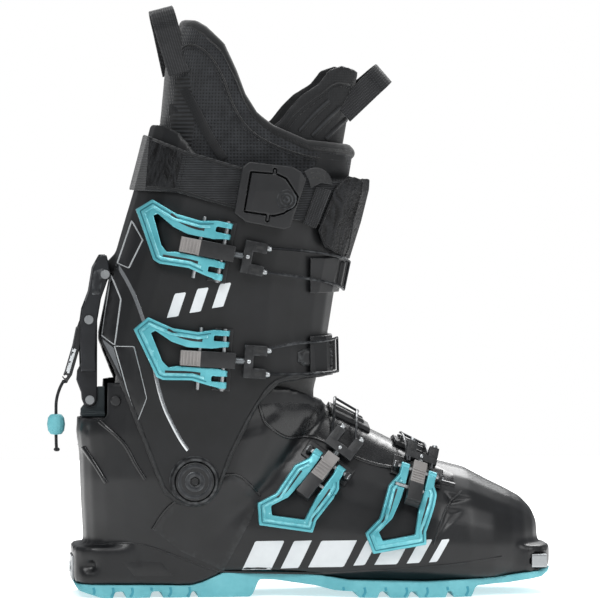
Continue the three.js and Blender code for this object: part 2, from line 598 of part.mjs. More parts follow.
// ---------------------------------------------------------------- buckles
// Lever outlines in the buckle's own plane: u towards the catch, v along the pivot pin.
const cuffLever = {
  outer: [[0, 18.4], [-7, 18.4], [-17, 16.4], [-32.6, 17.8], [-48.2, 23.6], [-56.6, 15.4], [-41, -13],
    [-37, -14.6],
    [-19, -13.8], [-8.2, -16.4], [0, -17.8], [0, -6.2]],
  inner: [[-9.3, -4.2], [-23.1, -4.2], [-34, -6.6], [-38, -3], [-46, 14], [-43.5, 15.6], [-32.9, 9.4],
    [-23.1, 6.6],
    [-7.9, 6.6], [0, 8]],
  tines: [[-17.8, -6.2], [8, 18.4]],
  ears: [[-13.2, -10.8], [12, 14.4]],
  block: 4.7,
  yoke: 10,
  sag: -0.4,
  hand: 1,
  rodStart: 7,
  yokeAt: 14,
};
const footLever = {
  outer: [[0, 11.2], [-5.1, 11.4], [-9.6, 14.4], [-16, 14.9], [-33.7, 14.4], [-41.2, 17],
    [-57.1, -12.4], [-46.6, -21.1],
    [-35, -15.5], [-13.7, -16], [-4.7, -11.4], [0, -11.2], [0, -6.2]],
  inner: [[-5.3, -6.2], [-17.8, -6.4], [-32.4, -8.2], [-43, -13.5], [-47.5, -9.5], [-37.6, 8.5],
    [-21.2, 5.8], [-2.5, 6.2],
    [0, 6.2]],
  tines: [[-11.7, -6.2], [6.2, 11.7]],
  ears: [[-15.6, -13.4], [13.4, 15.6]],
  block: 4.4,
  yoke: 10,
  sag: -0.4,
  hand: -1,
  rodStart: 6,
  yokeAt: 10,
};

function buckle(number, kind, half, layer, first, second, routes, catchSolid) {
  const low = facePoint(half, ...first, pinHeight);
  const high = facePoint(half, ...second, pinHeight);
  const middleX = (first[0] + second[0]) / 2;
  const middleZ = (first[1] + second[1]) / 2;
  const centre = low.clone().add(high).multiplyScalar(0.5);
  const pinAxis = high.clone().sub(low).normalize();
  const flat = Math.hypot(pinAxis.x, pinAxis.z);
  const v = [pinAxis.x / flat, pinAxis.z / flat];
  const u = [kind.hand * v[1], -kind.hand * v[0]];
  const name = (part) => `buckle_${number}_${part}`;
  const seen = (pairs) => pairs.map(([a, b]) => [centre.x + a * u[0] + b * v[0],
    centre.z + a * u[1] + b * v[1]]);
  const face = facePoint(half, middleX, middleZ, 0);
  const normal = facePoint(half, middleX, middleZ, 1).sub(face).normalize();
  const forward = pinAxis.clone().cross(normal).normalize();
  if (forward.x * u[0] + forward.z * u[1] < 0) forward.negate();
  const out = forward.clone().cross(pinAxis).normalize();
  if (out.y > 0) out.negate();
  const spot = (a, b, c) => centre.clone().addScaledVector(forward, a).addScaledVector(pinAxis,
    b).addScaledVector(out, c);
  const bar = (b0, b1, a, c, radius, sides) => rod(spot(a, b0, c), spot(a, b1, c), radius, sides);
  // A brick in the buckle's own directions.
  const brick = (a, b, c) => {
    const basis = new THREE.Matrix4().makeBasis(forward, pinAxis, out);
    if (basis.determinant() < 0) basis.makeBasis(pinAxis, forward, out);
    const sizes = basis.elements[0] === pinAxis.x ? [b, a, c] : [a, b, c];
    const geometry = new THREE.BoxGeometry(...sizes.map(([from, to]) => to - from));
    const at = spot((a[0] + a[1]) / 2, (b[0] + b[1]) / 2, (c[0] + c[1]) / 2);
    return moved(geometry, basis.setPosition(at));
  };
  const reach = kind.tines[1][1];
  // Bail pin: it follows the lever, which is bent with the shell.
  const midC = kind.sag;
  const midBore = bar(-reach - 6, reach + 6, -midPinBack, midC, midPin + pinPlay);
  const pivotBoreHere = bar(-reach - 6, reach + 6, 0, 0, leverPin + pinPlay);
  const frame = common(layer(leverLow, leverHigh), sidePlate(seen([...kind.outer, ...kind.inner]), -wide,
    0));
  const eyes = kind.tines.map(([from, to]) => bar(from, to, 0, 0, leverEye, 12));
  const forks = kind === cuffLever ? kind.ears.map(([from, to]) =>
    brick([-7, 5], [from - 0.5, to + 0.5], [-6, 6])) : [];
  add(name("lever"), cut(join(frame, ...eyes), pivotBoreHere, midBore, ...forks,
    brick([-30, 8], [-kind.block - 0.7, kind.block + 0.7], [-8, 8])), teal, 0.3, 0.4);
  // Base plate with the two ears that hold the pivot pin.
  const plateHalf = Math.max(reach, kind.ears[1][1]) + 1;
  const baseClear = half === footHalf ? shellOver : cuffSolid(seatGap);
  const plate = common(cut(layer(0, 1.7), baseClear),
    sidePlate(seen([[5.5, plateHalf], [-6, plateHalf], [-6, -plateHalf], [5.5, -plateHalf]]), -wide, 0));
  const ears = kind.ears.map(([from, to]) => join(bar(from, to, 0, 0, 2.7, 10),
    brick([-2.7, 2.7], [from, to], [-pinHeight + 0.9, 0])));
  const swings = kind.tines.map(([from, to]) => bar(from - 0.3, to + 0.3, 0, 0, leverEye + 1.3, 16));
  add(name("base"), cut(join(plate, ...ears.map((ear) => cut(ear, baseClear))), pivotBoreHere, ...swings),
    trimBlack, 0.4, 0.5);
  add(name("pin"), bar(-plateHalf, plateHalf, 0, 0, leverPin), steel, 0.25, 0.9);
  // Bail: block on the lever's own pin, threaded rod, yoke and two wires to the catch.
  const block = cut(join(brick([-27, kind.rodStart - 0.3], [-kind.block, kind.block],
    [midC - 2.3, midC + 4.2]),
    bar(-reach - 1, reach + 1, -midPinBack, midC, midPin)),
    brick([-4.5, 4.5], [-kind.block - 1, kind.block + 1], [midC - 4, leverPin + 0.5]));
  add(name("block"), block, stone, 0.5);
  const rodEnd = spot(kind.yokeAt, 0, midC);
  const yoke = brick([kind.yokeAt - 1, kind.yokeAt + 11], [-kind.yoke, kind.yoke], [midC - 1.9, midC + 1.9]);
  const notch = brick([kind.yokeAt + 4, kind.yokeAt + 12], [-4.2, 4.2], [midC - 4, midC + 4]);
  const stem = rod(spot(kind.rodStart, 0, midC), rodEnd, 1.9);
  const wires = routes.map((route, i) =>
    wire([spot(kind.yokeAt + 9, (2 * i - 1) * (kind.yoke - 2.6), midC), ...route], wireRadius, 6,
      2 * route.length));
  const hook = rod(routes[0][routes[0].length - 1], routes[1][routes[1].length - 1], wireRadius, 6);
  add(name("bail"), join(cut(yoke, notch), stem, ...wires, hook), steel, 0.35, 0.8);
  add(name("catch"), catchSolid, trimBlack, 0.4, 0.4);
}

const wireRise = 6.9;
const ribTop = 5;
const catchBase = 3;
const shellOver = join(footLoft(seatGap, 8), tower(ankleShape, ankleTop, seatGap));

// A point over the cuff: turn is the angle from the toe side round to the outer side.
function overCuff(z, turn, rise) {
  const power = 2 / lineAt(cuffShape.power, z);
  const rear = lineAt(cuffShape.rear, z) - rise;
  const front = lineAt(cuffShape.front, z) + rise;
  const angle = (turn * Math.PI) / 180;
  const half = lineAt(cuffShape.half, z) * stretchY + rise;
  return point((rear + front) / 2 + ((front - rear) / 2) * bend(Math.cos(angle), power),
    -half * bend(Math.sin(angle), power), leg(z));
}

// A point over the instep: turn is the angle from the crest down the outer side.
function overFoot(x, turn, rise) {
  const waist = lineAt(footShape.waist, x);
  const angle = (turn * Math.PI) / 180;
  const half = lineAt(footShape.half, x) * stretchY + rise;
  return point(foot(x), -half * bend(Math.sin(angle), 2 / instepPower),
    waist + (lineAt(footShape.top, x) + rise - waist) * bend(Math.cos(angle), 2 / instepPower));
}

function cuffCatch(lowZ, highZ) {
  const base = common(cuffLayer(seatGap, catchBase),
    box([84, -wide, leg(lowZ)], [140, 9, leg(highZ)]));
  const ribs = [-27, -18, -9, 0].map((y) => common(cuffLayer(catchBase - 0.5, ribTop),
    box([84, y, leg(lowZ + 3)], [140, y + 3.2, leg(highZ - 3)])));
  return join(base, ...ribs);
}

function footCatch(x) {
  const base = common(footLayer(seatGap, catchBase), box([foot(x) - 12.5, -16, 60],
    [foot(x) + 12.5, 15, 140]));
  const ribs = [-12, -4, 4].map((y) => common(footLayer(catchBase - 0.5, ribTop),
    box([foot(x) - 9, y, 60], [foot(x) + 9, y + 3, 140])));
  return join(base, ...ribs);
}

const cuffWires = (ends) => ends.map(([from, to]) => [62, 50, 38, 28, 20].map((turn, i) =>
  overCuff(from + ((to - from) * i) / 4, turn, wireRise)));
buckle(1, cuffLever, cuffHalf, cuffLayer, [25.9, 204.4], [31, 230], cuffWires([[201, 192.5], [217.5, 210]]),
  cuffCatch(191, 213));
buckle(2, cuffLever, cuffHalf, cuffLayer, [28, 137.5], [29.6, 162.4], cuffWires([[141, 141.5],
  [160, 162.5]]),
  cuffCatch(139, 164));
const footWires = (x, slope) => [-1, 1].map((side) => [44, 30, 16, 2, -6].map((turn, i) =>
  overFoot(x + side * 7 - (slope * (4 - i)) / 4, turn, wireRise)));
buckle(3, footLever, footHalf, footLayer, [88, 88.8], [103.6, 77.5], footWires(112, 6), footCatch(112));
buckle(4, footLever, footHalf, footLayer, [142.3, 78.5], [160, 72.3], footWires(153, 0), footCatch(153));

// ---------------------------------------------------------------- walk mechanism, on the cuff
const housingTop = leg(212);
const flipX = -52.7;
const flipZ = leg(173.5);
const housingLine = [[lockX - 3, housingTop + 2], [lockX - 7.5, housingTop - 6], [-52.4, leg(191)],
  [-56.6, leg(180)], [-57.6, leg(173)],
  [-58.2, 160], [-57.6, 141], [-47.8, 141], [-48.2, leg(153)], [-47.3, leg(172.7)], [-44.8, leg(187)],
  [lockX + 3.4, lockZ + 1], [lockX + 2.2, housingTop - 2], [lockX + 1, housingTop + 2]];
const cheeks = [-1, 1].map((side) => sidePlate(housingLine,
  Math.min(side * housingHalf, side * (housingHalf - housingCheek)),
  Math.max(side * housingHalf, side * (housingHalf - housingCheek))));
const housingWeb = common(sidePlate(housingLine, -housingHalf + 1, housingHalf - 1),
  sidePlate([[-70, leg(184)], [-54.8, leg(184)], [-51.6, leg(191)], [-49.8, leg(199)],
    [lockX - 5.6, lockZ + 2],
    [lockX - 5.2, lockZ + 20], [-70, lockZ + 20]], -housingHalf, housingHalf));
add("lock_housing", cut(join(...cheeks, housingWeb), across(lockX, lockZ, -20, 20, lockPin + pinPlay),
  across(flipX, flipZ, -20, 20, lockPin + pinPlay)), trimBlack, 0.4, 0.3);
const headed = (x, z, from, to, side) => join(across(x, z, from, to, lockPin),
  side < 0 ? across(x, z, from - 1, from + 0.2, 2.9, 14) : across(x, z, to - 0.2, to + 1, 2.9, 14));
const grip = housingHalf + seatGap;
add("lock_top_pin", join(headed(lockX, lockZ, -grip, grip, -1), headed(lockX, lockZ, -grip, grip, 1)),
  steel, 0.25, 0.9);
const barLine = [[-56.6, 122.7], [-55.2, 119.4], [-51.9, 118], [-48.6, 119.4], [-47.2, 122.7], [-47, 172],
  [-47.3, 177], [-48.3, 179], [-49.4, 179], [-50.6, 175], [-53.4, 167], [-55.6, 158], [-55.6, 148],
    [-59.5, 141], [-60, 135], [-57, 127]];
const barFork = join(across(lowPinX, lowPinZ, -2.9, 2.9, 14.2, 20), box([-70, -2.9, 110],
  [-30, 2.9, lowPinZ]));
add("lock_bar", cut(sidePlate(barLine, -barHalf, barHalf), barFork,
  across(lowPinX, lowPinZ, -20, 20, lockPin + pinPlay)), trimBlack, 0.4, 0.3);
add("lock_bar_pin", join(headed(lowPinX, lowPinZ, -barHalf - seatGap, barHalf + seatGap, -1),
  headed(lowPinX, lowPinZ, -barHalf - seatGap, barHalf + seatGap, 1)), steel, 0.25, 0.9);
const handOuter = housingHalf - housingCheek - 0.4;
const handInner = barHalf + 0.6;
const handLine = [[flipX + 3.4, flipZ + 1], [flipX, flipZ + 4], [flipX - 3.4, flipZ + 3],
  [flipX - 5.9, flipZ - 3], [flipX - 9.6, flipZ - 16.5],
  [flipX - 14.6, flipZ - 33.5], [flipX - 16.2, flipZ - 37], [flipX - 13.4, flipZ - 39.4],
    [flipX - 10.4, flipZ - 35],
  [flipX - 7.2, flipZ - 24], [flipX - 4, flipZ - 13], [flipX + 2.6, flipZ - 3]];
const handBack = sidePlate([[flipX - 7.3, flipZ - 5], [flipX - 9.6, flipZ - 16.5],
  [flipX - 14.6, flipZ - 33.5],
  [flipX - 16.2, flipZ - 37], [flipX - 13.4, flipZ - 39.4], [flipX - 10.4, flipZ - 35],
    [flipX - 7.2, flipZ - 22],
  [flipX - 5.2, flipZ - 6]], -handOuter, handOuter);
const handCheeks = [-1, 1].map((side) => sidePlate(handLine, Math.min(side * handInner, side * handOuter),
  Math.max(side * handInner, side * handOuter)));
const cordEye = across(flipX - 14.2, flipZ - 36.2, -wide, wide, 1.4);
add("hand_lever", cut(join(handBack, ...handCheeks), across(flipX, flipZ, -20, 20, lockPin + pinPlay),
  cordEye),
  trimBlack, 0.45);
for (const [name, side] of [["hand_lever_rivet_outer", -1], ["hand_lever_rivet_inner", 1]]) {
  const [a, b] = [side * (handInner + 0.1), side * grip];
  add(name, headed(flipX, flipZ, Math.min(a, b), Math.max(a, b), side), steel, 0.25, 0.9);
}
// The pull cord and its bead hang from the hand lever.
const cordTop = [flipX - 15.2, flipZ - 38.7];
const cordRoute = [[0, 0, 0], [-2.2, 0, -4], [-4, 0, -9], [-4.9, 0, -14], [-5, 0, -20], [-5, 0, -27],
  [-5, 0, -34],
  [-4.9, 0, -40], [-4.6, 0, -44.5]];
const cordPoints = cordRoute.map(([x, y, z]) => point(cordTop[0] + x, y, cordTop[1] + z));
add("pull_cord", wire(cordPoints, cordDiameter / 2, 8, 16), 0x2a2c30, 0.8);
const beadTop = cordTop[1] - 21;
const bead = new THREE.LatheGeometry([[1.4, 0], [1.4, -13.2], [3.6, -12.8], [5.2, -10.6], [5.8, -6.5],
  [5.2, -2.4], [3.6, -0.4],
  [1.4, 0]].map(([x, y]) => new THREE.Vector2(x, y)), 14);
bead.rotateX(Math.PI / 2);
bead.translate(cordTop[0] - 5, 0, beadTop);
add("cord_bead", toSolid(bead), teal, 0.5);

export default object;
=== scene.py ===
# Alpine touring boot for the right foot: soft parts, finishes, light and camera.
import bpy
import bmesh
import json
import math
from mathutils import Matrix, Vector
from mathutils.bvhtree import BVHTree
from mathutils.geometry import delaunay_2d_cdt


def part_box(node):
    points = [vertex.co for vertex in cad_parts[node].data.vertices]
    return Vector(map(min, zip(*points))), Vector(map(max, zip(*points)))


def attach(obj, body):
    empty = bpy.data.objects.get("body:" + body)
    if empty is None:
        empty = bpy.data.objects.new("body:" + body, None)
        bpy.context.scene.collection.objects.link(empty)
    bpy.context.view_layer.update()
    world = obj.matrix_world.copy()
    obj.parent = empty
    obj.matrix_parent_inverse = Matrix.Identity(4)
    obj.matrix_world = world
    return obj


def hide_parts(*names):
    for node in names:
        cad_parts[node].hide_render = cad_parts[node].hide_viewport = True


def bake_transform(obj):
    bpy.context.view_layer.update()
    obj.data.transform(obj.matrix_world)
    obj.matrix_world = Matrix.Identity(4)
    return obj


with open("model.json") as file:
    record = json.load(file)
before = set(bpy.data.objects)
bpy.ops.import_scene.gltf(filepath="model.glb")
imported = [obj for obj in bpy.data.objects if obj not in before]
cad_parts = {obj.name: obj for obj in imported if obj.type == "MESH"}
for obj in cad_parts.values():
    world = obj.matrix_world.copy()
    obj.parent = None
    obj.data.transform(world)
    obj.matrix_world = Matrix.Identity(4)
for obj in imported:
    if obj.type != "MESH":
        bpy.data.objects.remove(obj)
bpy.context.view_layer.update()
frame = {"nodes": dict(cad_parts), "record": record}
nodes = frame["nodes"]
millimetre = 0.001
perMetre = 1000
sides = ((-1, "outer"), (1, "inner"))
ends = ((-1, "low"), (1, "high"))
bodyOf = {name: body for body, names in frame["record"]["behaviour"]["bodies"].items() for name in names}


def addToScene(thing):
    bpy.context.scene.collection.objects.link(thing)


# The camera stands level with the boot, on its outer side.
cameraValues = dict(target=(0.0815, 0.0, 0.1851), azimuth=-5.0, elevation=2.0, distance=3.4, width=0.3795)


def placeCamera(values):
    data = bpy.data.cameras.new("camera")
    camera = bpy.data.objects.new("camera", data)
    addToScene(camera)
    turn, lift = math.radians(values["azimuth"]), math.radians(values["elevation"])
    back = Vector((math.sin(turn) * math.cos(lift), -math.cos(turn) * math.cos(lift), math.sin(lift)))
    camera.rotation_mode = "QUATERNION"
    camera.location = Vector(values["target"]) + back * values["distance"]
    camera.rotation_quaternion = (-back).to_track_quat("-Z", "Y")
    data.sensor_width = 36
    data.lens = 36 * values["distance"] / values["width"]
    data.clip_start, data.clip_end = 0.05, 40
    bpy.context.scene.camera = camera


placeCamera(cameraValues)


finishes = {}


# Values that are sockets are linked to the node, and all others are set on it.
def feed(tree, node, values):
    for key, value in values.items():
        if isinstance(value, bpy.types.NodeSocket):
            tree.links.new(value, node.inputs[key])
        elif isinstance(key, str) and hasattr(node, key):
            setattr(node, key, value)
        else:
            node.inputs[key].default_value = value


def addNode(tree, kind, values=None):
    node = tree.nodes.new(kind)
    feed(tree, node, values or {})
    return node


def maths(tree, operation, *terms):
    return addNode(tree, "ShaderNodeMath", {"operation": operation, **dict(enumerate(terms))}).outputs[0]


def noise(tree, where, cellMm, detail, **more):
    values = {"Scale": perMetre / cellMm, "Detail": detail, "Vector": where, **more}
    return addNode(tree, "ShaderNodeTexNoise", values).outputs[0]


def colourOf(hexText):
    parts = [int(hexText[i:i + 2], 16) / 255 for i in (0, 2, 4)]
    return tuple(p / 12.92 if p <= 0.04045 else ((p + 0.055) / 1.055) ** 2.4 for p in parts) + (1.0,)


def startFinish(name):
    finishes[name] = bpy.data.materials.new(name)
    finishes[name].use_nodes = True
    tree = finishes[name].node_tree
    place = addNode(tree, "ShaderNodeTexCoord")
    return tree, tree.nodes["Principled BSDF"], place.outputs["Object"], place.outputs["UV"]


def mixed(tree, factor, first, second):
    tones = [colourOf(tone) if isinstance(tone, str) else tone for tone in (first, second)]
    return addNode(tree, "ShaderNodeMix", {"data_type": "RGBA", 0: factor, 6: tones[0],
        7: tones[1]}).outputs[2]


def spread(tree, value, low, high, fromLow=0.3, fromHigh=0.7):
    return addNode(tree, "ShaderNodeMapRange", {1: fromLow, 2: fromHigh, 3: low, 4: high,
        0: value}).outputs[0]


def addBump(tree, shader, height, strength, liftMm):
    lump = addNode(tree, "ShaderNodeBump", {"Strength": strength, "Distance": liftMm * millimetre,
        "Height": height})
    tree.links.new(lump.outputs[0], shader.inputs["Normal"])


# Sizes of the texture's cells in millimetres, and the sheens that finishes share.
finishValues = dict(cloud=22, scuff=3.5, fuzz=9, pebble=1.3, crease=7, coatRough=0.18, clothGloss=0.25,
    sheenRough=0.45, leatherGloss=0.18)


# A hard surface: cloudy tone, a fine grain or brush, and paler, rougher edges where it rubs.
def hardFinish(name, dark, light, metallic, rough, grainMm, bump, wearHex=None, wear=0.35, stretch=(1, 1, 1),
        coat=0.0, ior=1.47, gloss=0.5):
    tree, shader, where, _ = startFinish(name)
    shift = addNode(tree, "ShaderNodeMapping", {"Scale": stretch, "Vector": where})
    cloud = noise(tree, where, finishValues["cloud"], 4.0, Roughness=0.6)
    grain = noise(tree, shift.outputs[0], grainMm, 3.0, Roughness=0.55)
    tone = mixed(tree, spread(tree, cloud, 0, 1, 0.32, 0.68), dark, light)
    if wearHex:
        shape = addNode(tree, "ShaderNodeNewGeometry")
        scuff = noise(tree, where, finishValues["scuff"], 5.0)
        edge = spread(tree, shape.outputs["Pointiness"], 0, 1, 0.53, 0.62)
        rubbed = maths(tree, "MULTIPLY", edge, spread(tree, scuff, 0, wear, 0.42, 0.62))
        tone = mixed(tree, rubbed, tone, wearHex)
    addBump(tree, shader, grain, *bump)
    feed(tree, shader, {"Base Color": tone, "Roughness": spread(tree, grain, *rough), "Metallic": metallic,
        "Specular IOR Level": gloss, "Coat Weight": coat, "Coat Roughness": finishValues["coatRough"]})
    if metallic < 0.5:
        shader.inputs["IOR"].default_value = ior


# A woven or knitted surface on the piece's own map, whose u and v are millimetres.
def clothFinish(name, dark, light, threadMm, rough, bumpMm, kind="weave", sheen=0.25, rowMm=None):
    tree, shader, where, lay = startFinish(name)
    spot = addNode(tree, "ShaderNodeSeparateXYZ", {0: lay})

    def ridge(source, pitch):
        wave = maths(tree, "SINE", maths(tree, "MULTIPLY", source, math.tau / pitch))
        return maths(tree, "MULTIPLY_ADD", wave, 0.5, 0.5)

    across, along = ridge(spot.outputs[0], threadMm), ridge(spot.outputs[1], rowMm or threadMm)
    if kind == "ribs":
        height = along
    elif kind == "diagonal":
        height = ridge(maths(tree, "ADD", spot.outputs[0], spot.outputs[1]), threadMm)
    else:
        height = maths(tree, "MULTIPLY", across, along)
    if kind == "mesh":
        height = maths(tree, "SUBTRACT", 1.0, height)
    fuzz = noise(tree, where, finishValues["fuzz"], 5.0, Roughness=0.65)
    base = mixed(tree, spread(tree, height, 0, 1, 0.25, 0.8), dark, light)
    shade = mixed(tree, spread(tree, fuzz, 0, 0.55, 0.38, 0.7), base, dark)
    addBump(tree, shader, height, 0.9, bumpMm)
    feed(tree, shader, {"Base Color": shade, "Roughness": spread(tree, fuzz, *rough), "Sheen Weight": sheen,
        "Specular IOR Level": finishValues["clothGloss"], "Sheen Roughness": finishValues["sheenRough"]})


# Polyamide shell, injection moulded: near black, satin gloss with soft broad highlights.
hardFinish("mouldedPolyamide", "0C0D0F", "141517", 0, (0.33, 0.4), 1.1, (0.05, 0.015), "5B5E60", 0.2,
    gloss=0.45)
# Glossier skin of the shell's outer flap.
hardFinish("polishedPolyamide", "0B0C0E", "131416", 0, (0.24, 0.3), 2.0, (0.02, 0.01), coat=0.1)
# Glass-filled cuff plastic, spark-eroded mould: matte charcoal with a fine even grain.
hardFinish("grainedCuffPlastic", "0C0D0E", "141517", 0, (0.4, 0.5), 0.7, (0.2, 0.03), "646769", 0.3,
    gloss=0.4)
hardFinish("facetPlastic", "0C0D0F", "131416", 0, (0.3, 0.4), 0.8, (0.18, 0.03))
# Rubber compound of the sole, moulded: chalky, rubbed paler on its edges. The darker copy below is painted
# shade, laid in the grooves on the sole's edge.
hardFinish("tealSoleRubber", "519AA4", "68AEB7", 0, (0.55, 0.72), 0.8, (0.3, 0.06), "A9DCE4", 0.4, ior=1.52)
hardFinish("solePaintedShade", "2F7F90", "3E90A0", 0, (0.6, 0.75), 0.8, (0.3, 0.05))
# Forged aluminium lever, anodised: satin metallic teal with bright edges.
hardFinish("anodisedTeal", "46949F", "62B1BB", 0.3, (0.27, 0.38), 0.5, (0.12, 0.02), "B5ECF0", 0.7)
# A darker copy of the lever's teal for the groove inside its rim: painted shade.
hardFinish("anodisedTealPaintedShade", "235F69", "2F7580", 0.5, (0.35, 0.48), 0.5, (0.12, 0.02))
# Stainless steel, turned and brushed: bright with fine streaks.
hardFinish("brushedSteel", "8D9092", "ABAEB0", 1, (0.26, 0.4), 0.6, (0.15, 0.015), stretch=(1, 1, 0.15))
# Steel wire, black oxide: dark metal with a soft sheen.
hardFinish("blackWire", "1D1E20", "2B2D30", 0.75, (0.28, 0.42), 0.5, (0.12, 0.02), "8E9193", 0.4)
# Acetal and nylon small parts, moulded: black, slightly waxy.
hardFinish("blackAcetal", "0D0E10", "161719", 0, (0.34, 0.46), 0.6, (0.16, 0.03), "5B5E60", 0.35)
hardFinish("powderCoatedBlack", "0F1012", "1A1B1D", 0.2, (0.38, 0.5), 0.45, (0.3, 0.03), "85888A", 0.45)
hardFinish("greyNylon", "6E6B6A", "827F7D", 0, (0.36, 0.5), 0.6, (0.2, 0.03), "BDBAB8", 0.4)
hardFinish("paintedBracket", "2A3134", "384144", 0.3, (0.36, 0.5), 0.7, (0.2, 0.03), "8B9496", 0.5)
hardFinish("satinHousing", "1C1D20", "292B2E", 0.35, (0.3, 0.42), 0.6, (0.2, 0.02), "7E8284", 0.5)
# Chrome-bright metal on the cuff's glossy black bevels: a painted reflection of the lights.
hardFinish("chromedFoil", "AEB2B5", "CDD0D2", 1, (0.12, 0.2), 2.0, (0.05, 0.01))
# Pale grey for the bevelled rims of the cuff's facets: a painted highlight where the black edges catch the
# lights.
hardFinish("paintedEdgeHighlight", "8F9395", "A6A9AB", 0, (0.4, 0.5), 1.0, (0.1, 0.01))
hardFinish("screenPrint", "BFC3C6", "CED2D4", 0, (0.4, 0.52), 0.5, (0.1, 0.01))
hardFinish("softRubber", "0A0B0C", "131415", 0, (0.5, 0.66), 0.9, (0.3, 0.04), ior=1.52)
clothFinish("spacerMesh", "050506", "26282B", 2.5, (0.75, 0.92), 0.35, "mesh", 0.3, 2.1)
clothFinish("jerseyLining", "0C0D0E", "1C1E20", 1.3, (0.8, 0.95), 0.15, "diagonal", 0.35)
clothFinish("collarBinding", "0E0F10", "1F2124", 1.0, (0.7, 0.86), 0.12, "weave", 0.3)
clothFinish("smoothSynthetic", "0D0E10", "191B1D", 1.6, (0.5, 0.64), 0.06, "weave", 0.1)
clothFinish("ribbedPanel", "08090A", "232528", 2.2, (0.6, 0.8), 0.4, "ribs", 0.2, 2.6)
clothFinish("polyesterWebbing", "0D0E10", "2A2C30", 1.5, (0.62, 0.8), 0.25, "weave", 0.3, 1.0)
clothFinish("ribbedElastic", "0A0B0D", "26282B", 1.2, (0.65, 0.82), 0.28, "ribs", 0.3, 1.5)
clothFinish("braidedCord", "101113", "3A3D42", 0.8, (0.6, 0.8), 0.15, "weave", 0.3, 0.8)

# Embossed leather of the strap's flap: pebbled, with long soft creases.
def leatherFinish(name):
    tree, shader, where, _ = startFinish(name)
    pebble = addNode(tree, "ShaderNodeTexVoronoi", {"Scale": perMetre / finishValues["pebble"],
        "Randomness": 1.0, "Vector": where})
    stretch = addNode(tree, "ShaderNodeMapping", {"Scale": (1, 1, 0.35), "Vector": where})
    crease = noise(tree, stretch.outputs[0], finishValues["crease"], 7.0, Distortion=2.2)
    addBump(tree, shader, maths(tree, "MULTIPLY_ADD", pebble.outputs[0], 0.3, crease), 1.0, 1.1)
    tone = mixed(tree, spread(tree, crease, 0, 1, 0.38, 0.62), "040405", "1E1F21")
    feed(tree, shader, {"Base Color": tone, "Roughness": spread(tree, crease, 0.42, 0.6),
        "Specular IOR Level": finishValues["leatherGloss"]})


leatherFinish("creasedLeather")
print("finishes made:", len(finishes))


# Finish, body and slot of what is laid on the mouldings.
shellPlain = ("mouldedPolyamide", "root", "shell_plastic")
shellGloss = ("polishedPolyamide", "root", "shell_plastic")
shellFacet = ("facetPlastic", "root", "shell_plastic")
cuffFacet = ("facetPlastic", "cuff", "cuff_plastic")
# Painted reflection for the cuff's glossy bevel stripe and flash.
cuffPaintedReflection = ("chromedFoil", "cuff", "bright_steel")
linerSmooth = ("smoothSynthetic", "cuff", "liner_cloth")
linerBinding = ("collarBinding", "cuff", "liner_cloth")
linerRibbed = ("ribbedPanel", "cuff", "liner_cloth")
strapEdge = ("collarBinding", "cuff", "webbing")
catchBlack = ("powderCoatedBlack", "cuff", "buckle_black")

# A finished piece, which rides its body.
def newPiece(name, mesh, finish, body, slot, smooth=True, angle=40):
    piece = bpy.data.objects.new(name, mesh)
    addToScene(piece)
    mesh.materials.clear()
    mesh.materials.append(finishes[finish])
    for polygon in mesh.polygons:
        polygon.use_smooth = smooth
    if smooth and angle:
        mesh.set_sharp_from_angle(angle=math.radians(angle))
    if body:
        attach(piece, body)
    return piece


def bake(piece, name):
    graph = bpy.context.evaluated_depsgraph_get()
    mesh = bpy.data.meshes.new_from_object(piece.evaluated_get(graph))
    mesh.name = name
    return mesh


def mergedCopy(name):
    mesh = nodes[name].data.copy()
    shape = bmesh.new()
    shape.from_mesh(mesh)
    bmesh.ops.remove_doubles(shape, verts=shape.verts, dist=1e-6)
    shape.to_mesh(mesh)
    shape.free()
    return mesh


# The node's shape with rounded, moulded edges: remeshed, then eased.
def mouldedMesh(name, voxelMm, easing):
    holder = bpy.data.objects.new(name + "_work", mergedCopy(name))
    addToScene(holder)
    remesh = holder.modifiers.new("remesh", "REMESH")
    remesh.mode = "VOXEL"
    remesh.voxel_size = voxelMm * millimetre
    if easing:
        ease = holder.modifiers.new("ease", "SMOOTH")
        ease.factor, ease.iterations = 0.5, easing
    mesh = bake(holder, name + "_moulded")
    bpy.data.objects.remove(holder)
    return mesh


def wrapMap(mesh, centreX, radiusMm):
    layer = mesh.uv_layers.new(name="wrap")
    points = [v.co.copy() for v in mesh.vertices]
    for polygon in mesh.polygons:
        turns = [math.atan2(points[i].y, points[i].x - centreX) for i in polygon.vertices]
        low = min(turns)
        for loop, index, turn in zip(polygon.loop_indices, polygon.vertices, turns):
            if turn - low > math.pi:
                turn -= math.tau
            layer.data[loop].uv = (turn * radiusMm, points[index].z * perMetre)


def mould(name, finish, slot, voxelMm, easing, wrap=None, map2=None, angle=0):
    mesh = mouldedMesh(name, voxelMm, easing)
    if wrap:
        wrapMap(mesh, wrap[0] * millimetre, wrap[1])
    if map2:
        layer = mesh.uv_layers.new(name="lay")
        for polygon in mesh.polygons:
            for loop, index in zip(polygon.loop_indices, polygon.vertices):
                place = mesh.vertices[index].co * perMetre
                layer.data[loop].uv = (place.dot(Vector(map2[0])), place.dot(Vector(map2[1])))
    piece = newPiece(name + "_skin", mesh, finish, bodyOf[name], slot, angle=angle)
    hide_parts(name)
    return piece


def faceOut(mesh):
    shape = bmesh.new()
    shape.from_mesh(mesh)
    bmesh.ops.recalc_face_normals(shape, faces=shape.faces)
    shape.to_mesh(mesh)
    shape.free()


def treeOf(mesh):
    return BVHTree.FromPolygons([v.co for v in mesh.vertices], [tuple(p.vertices) for p in mesh.polygons])


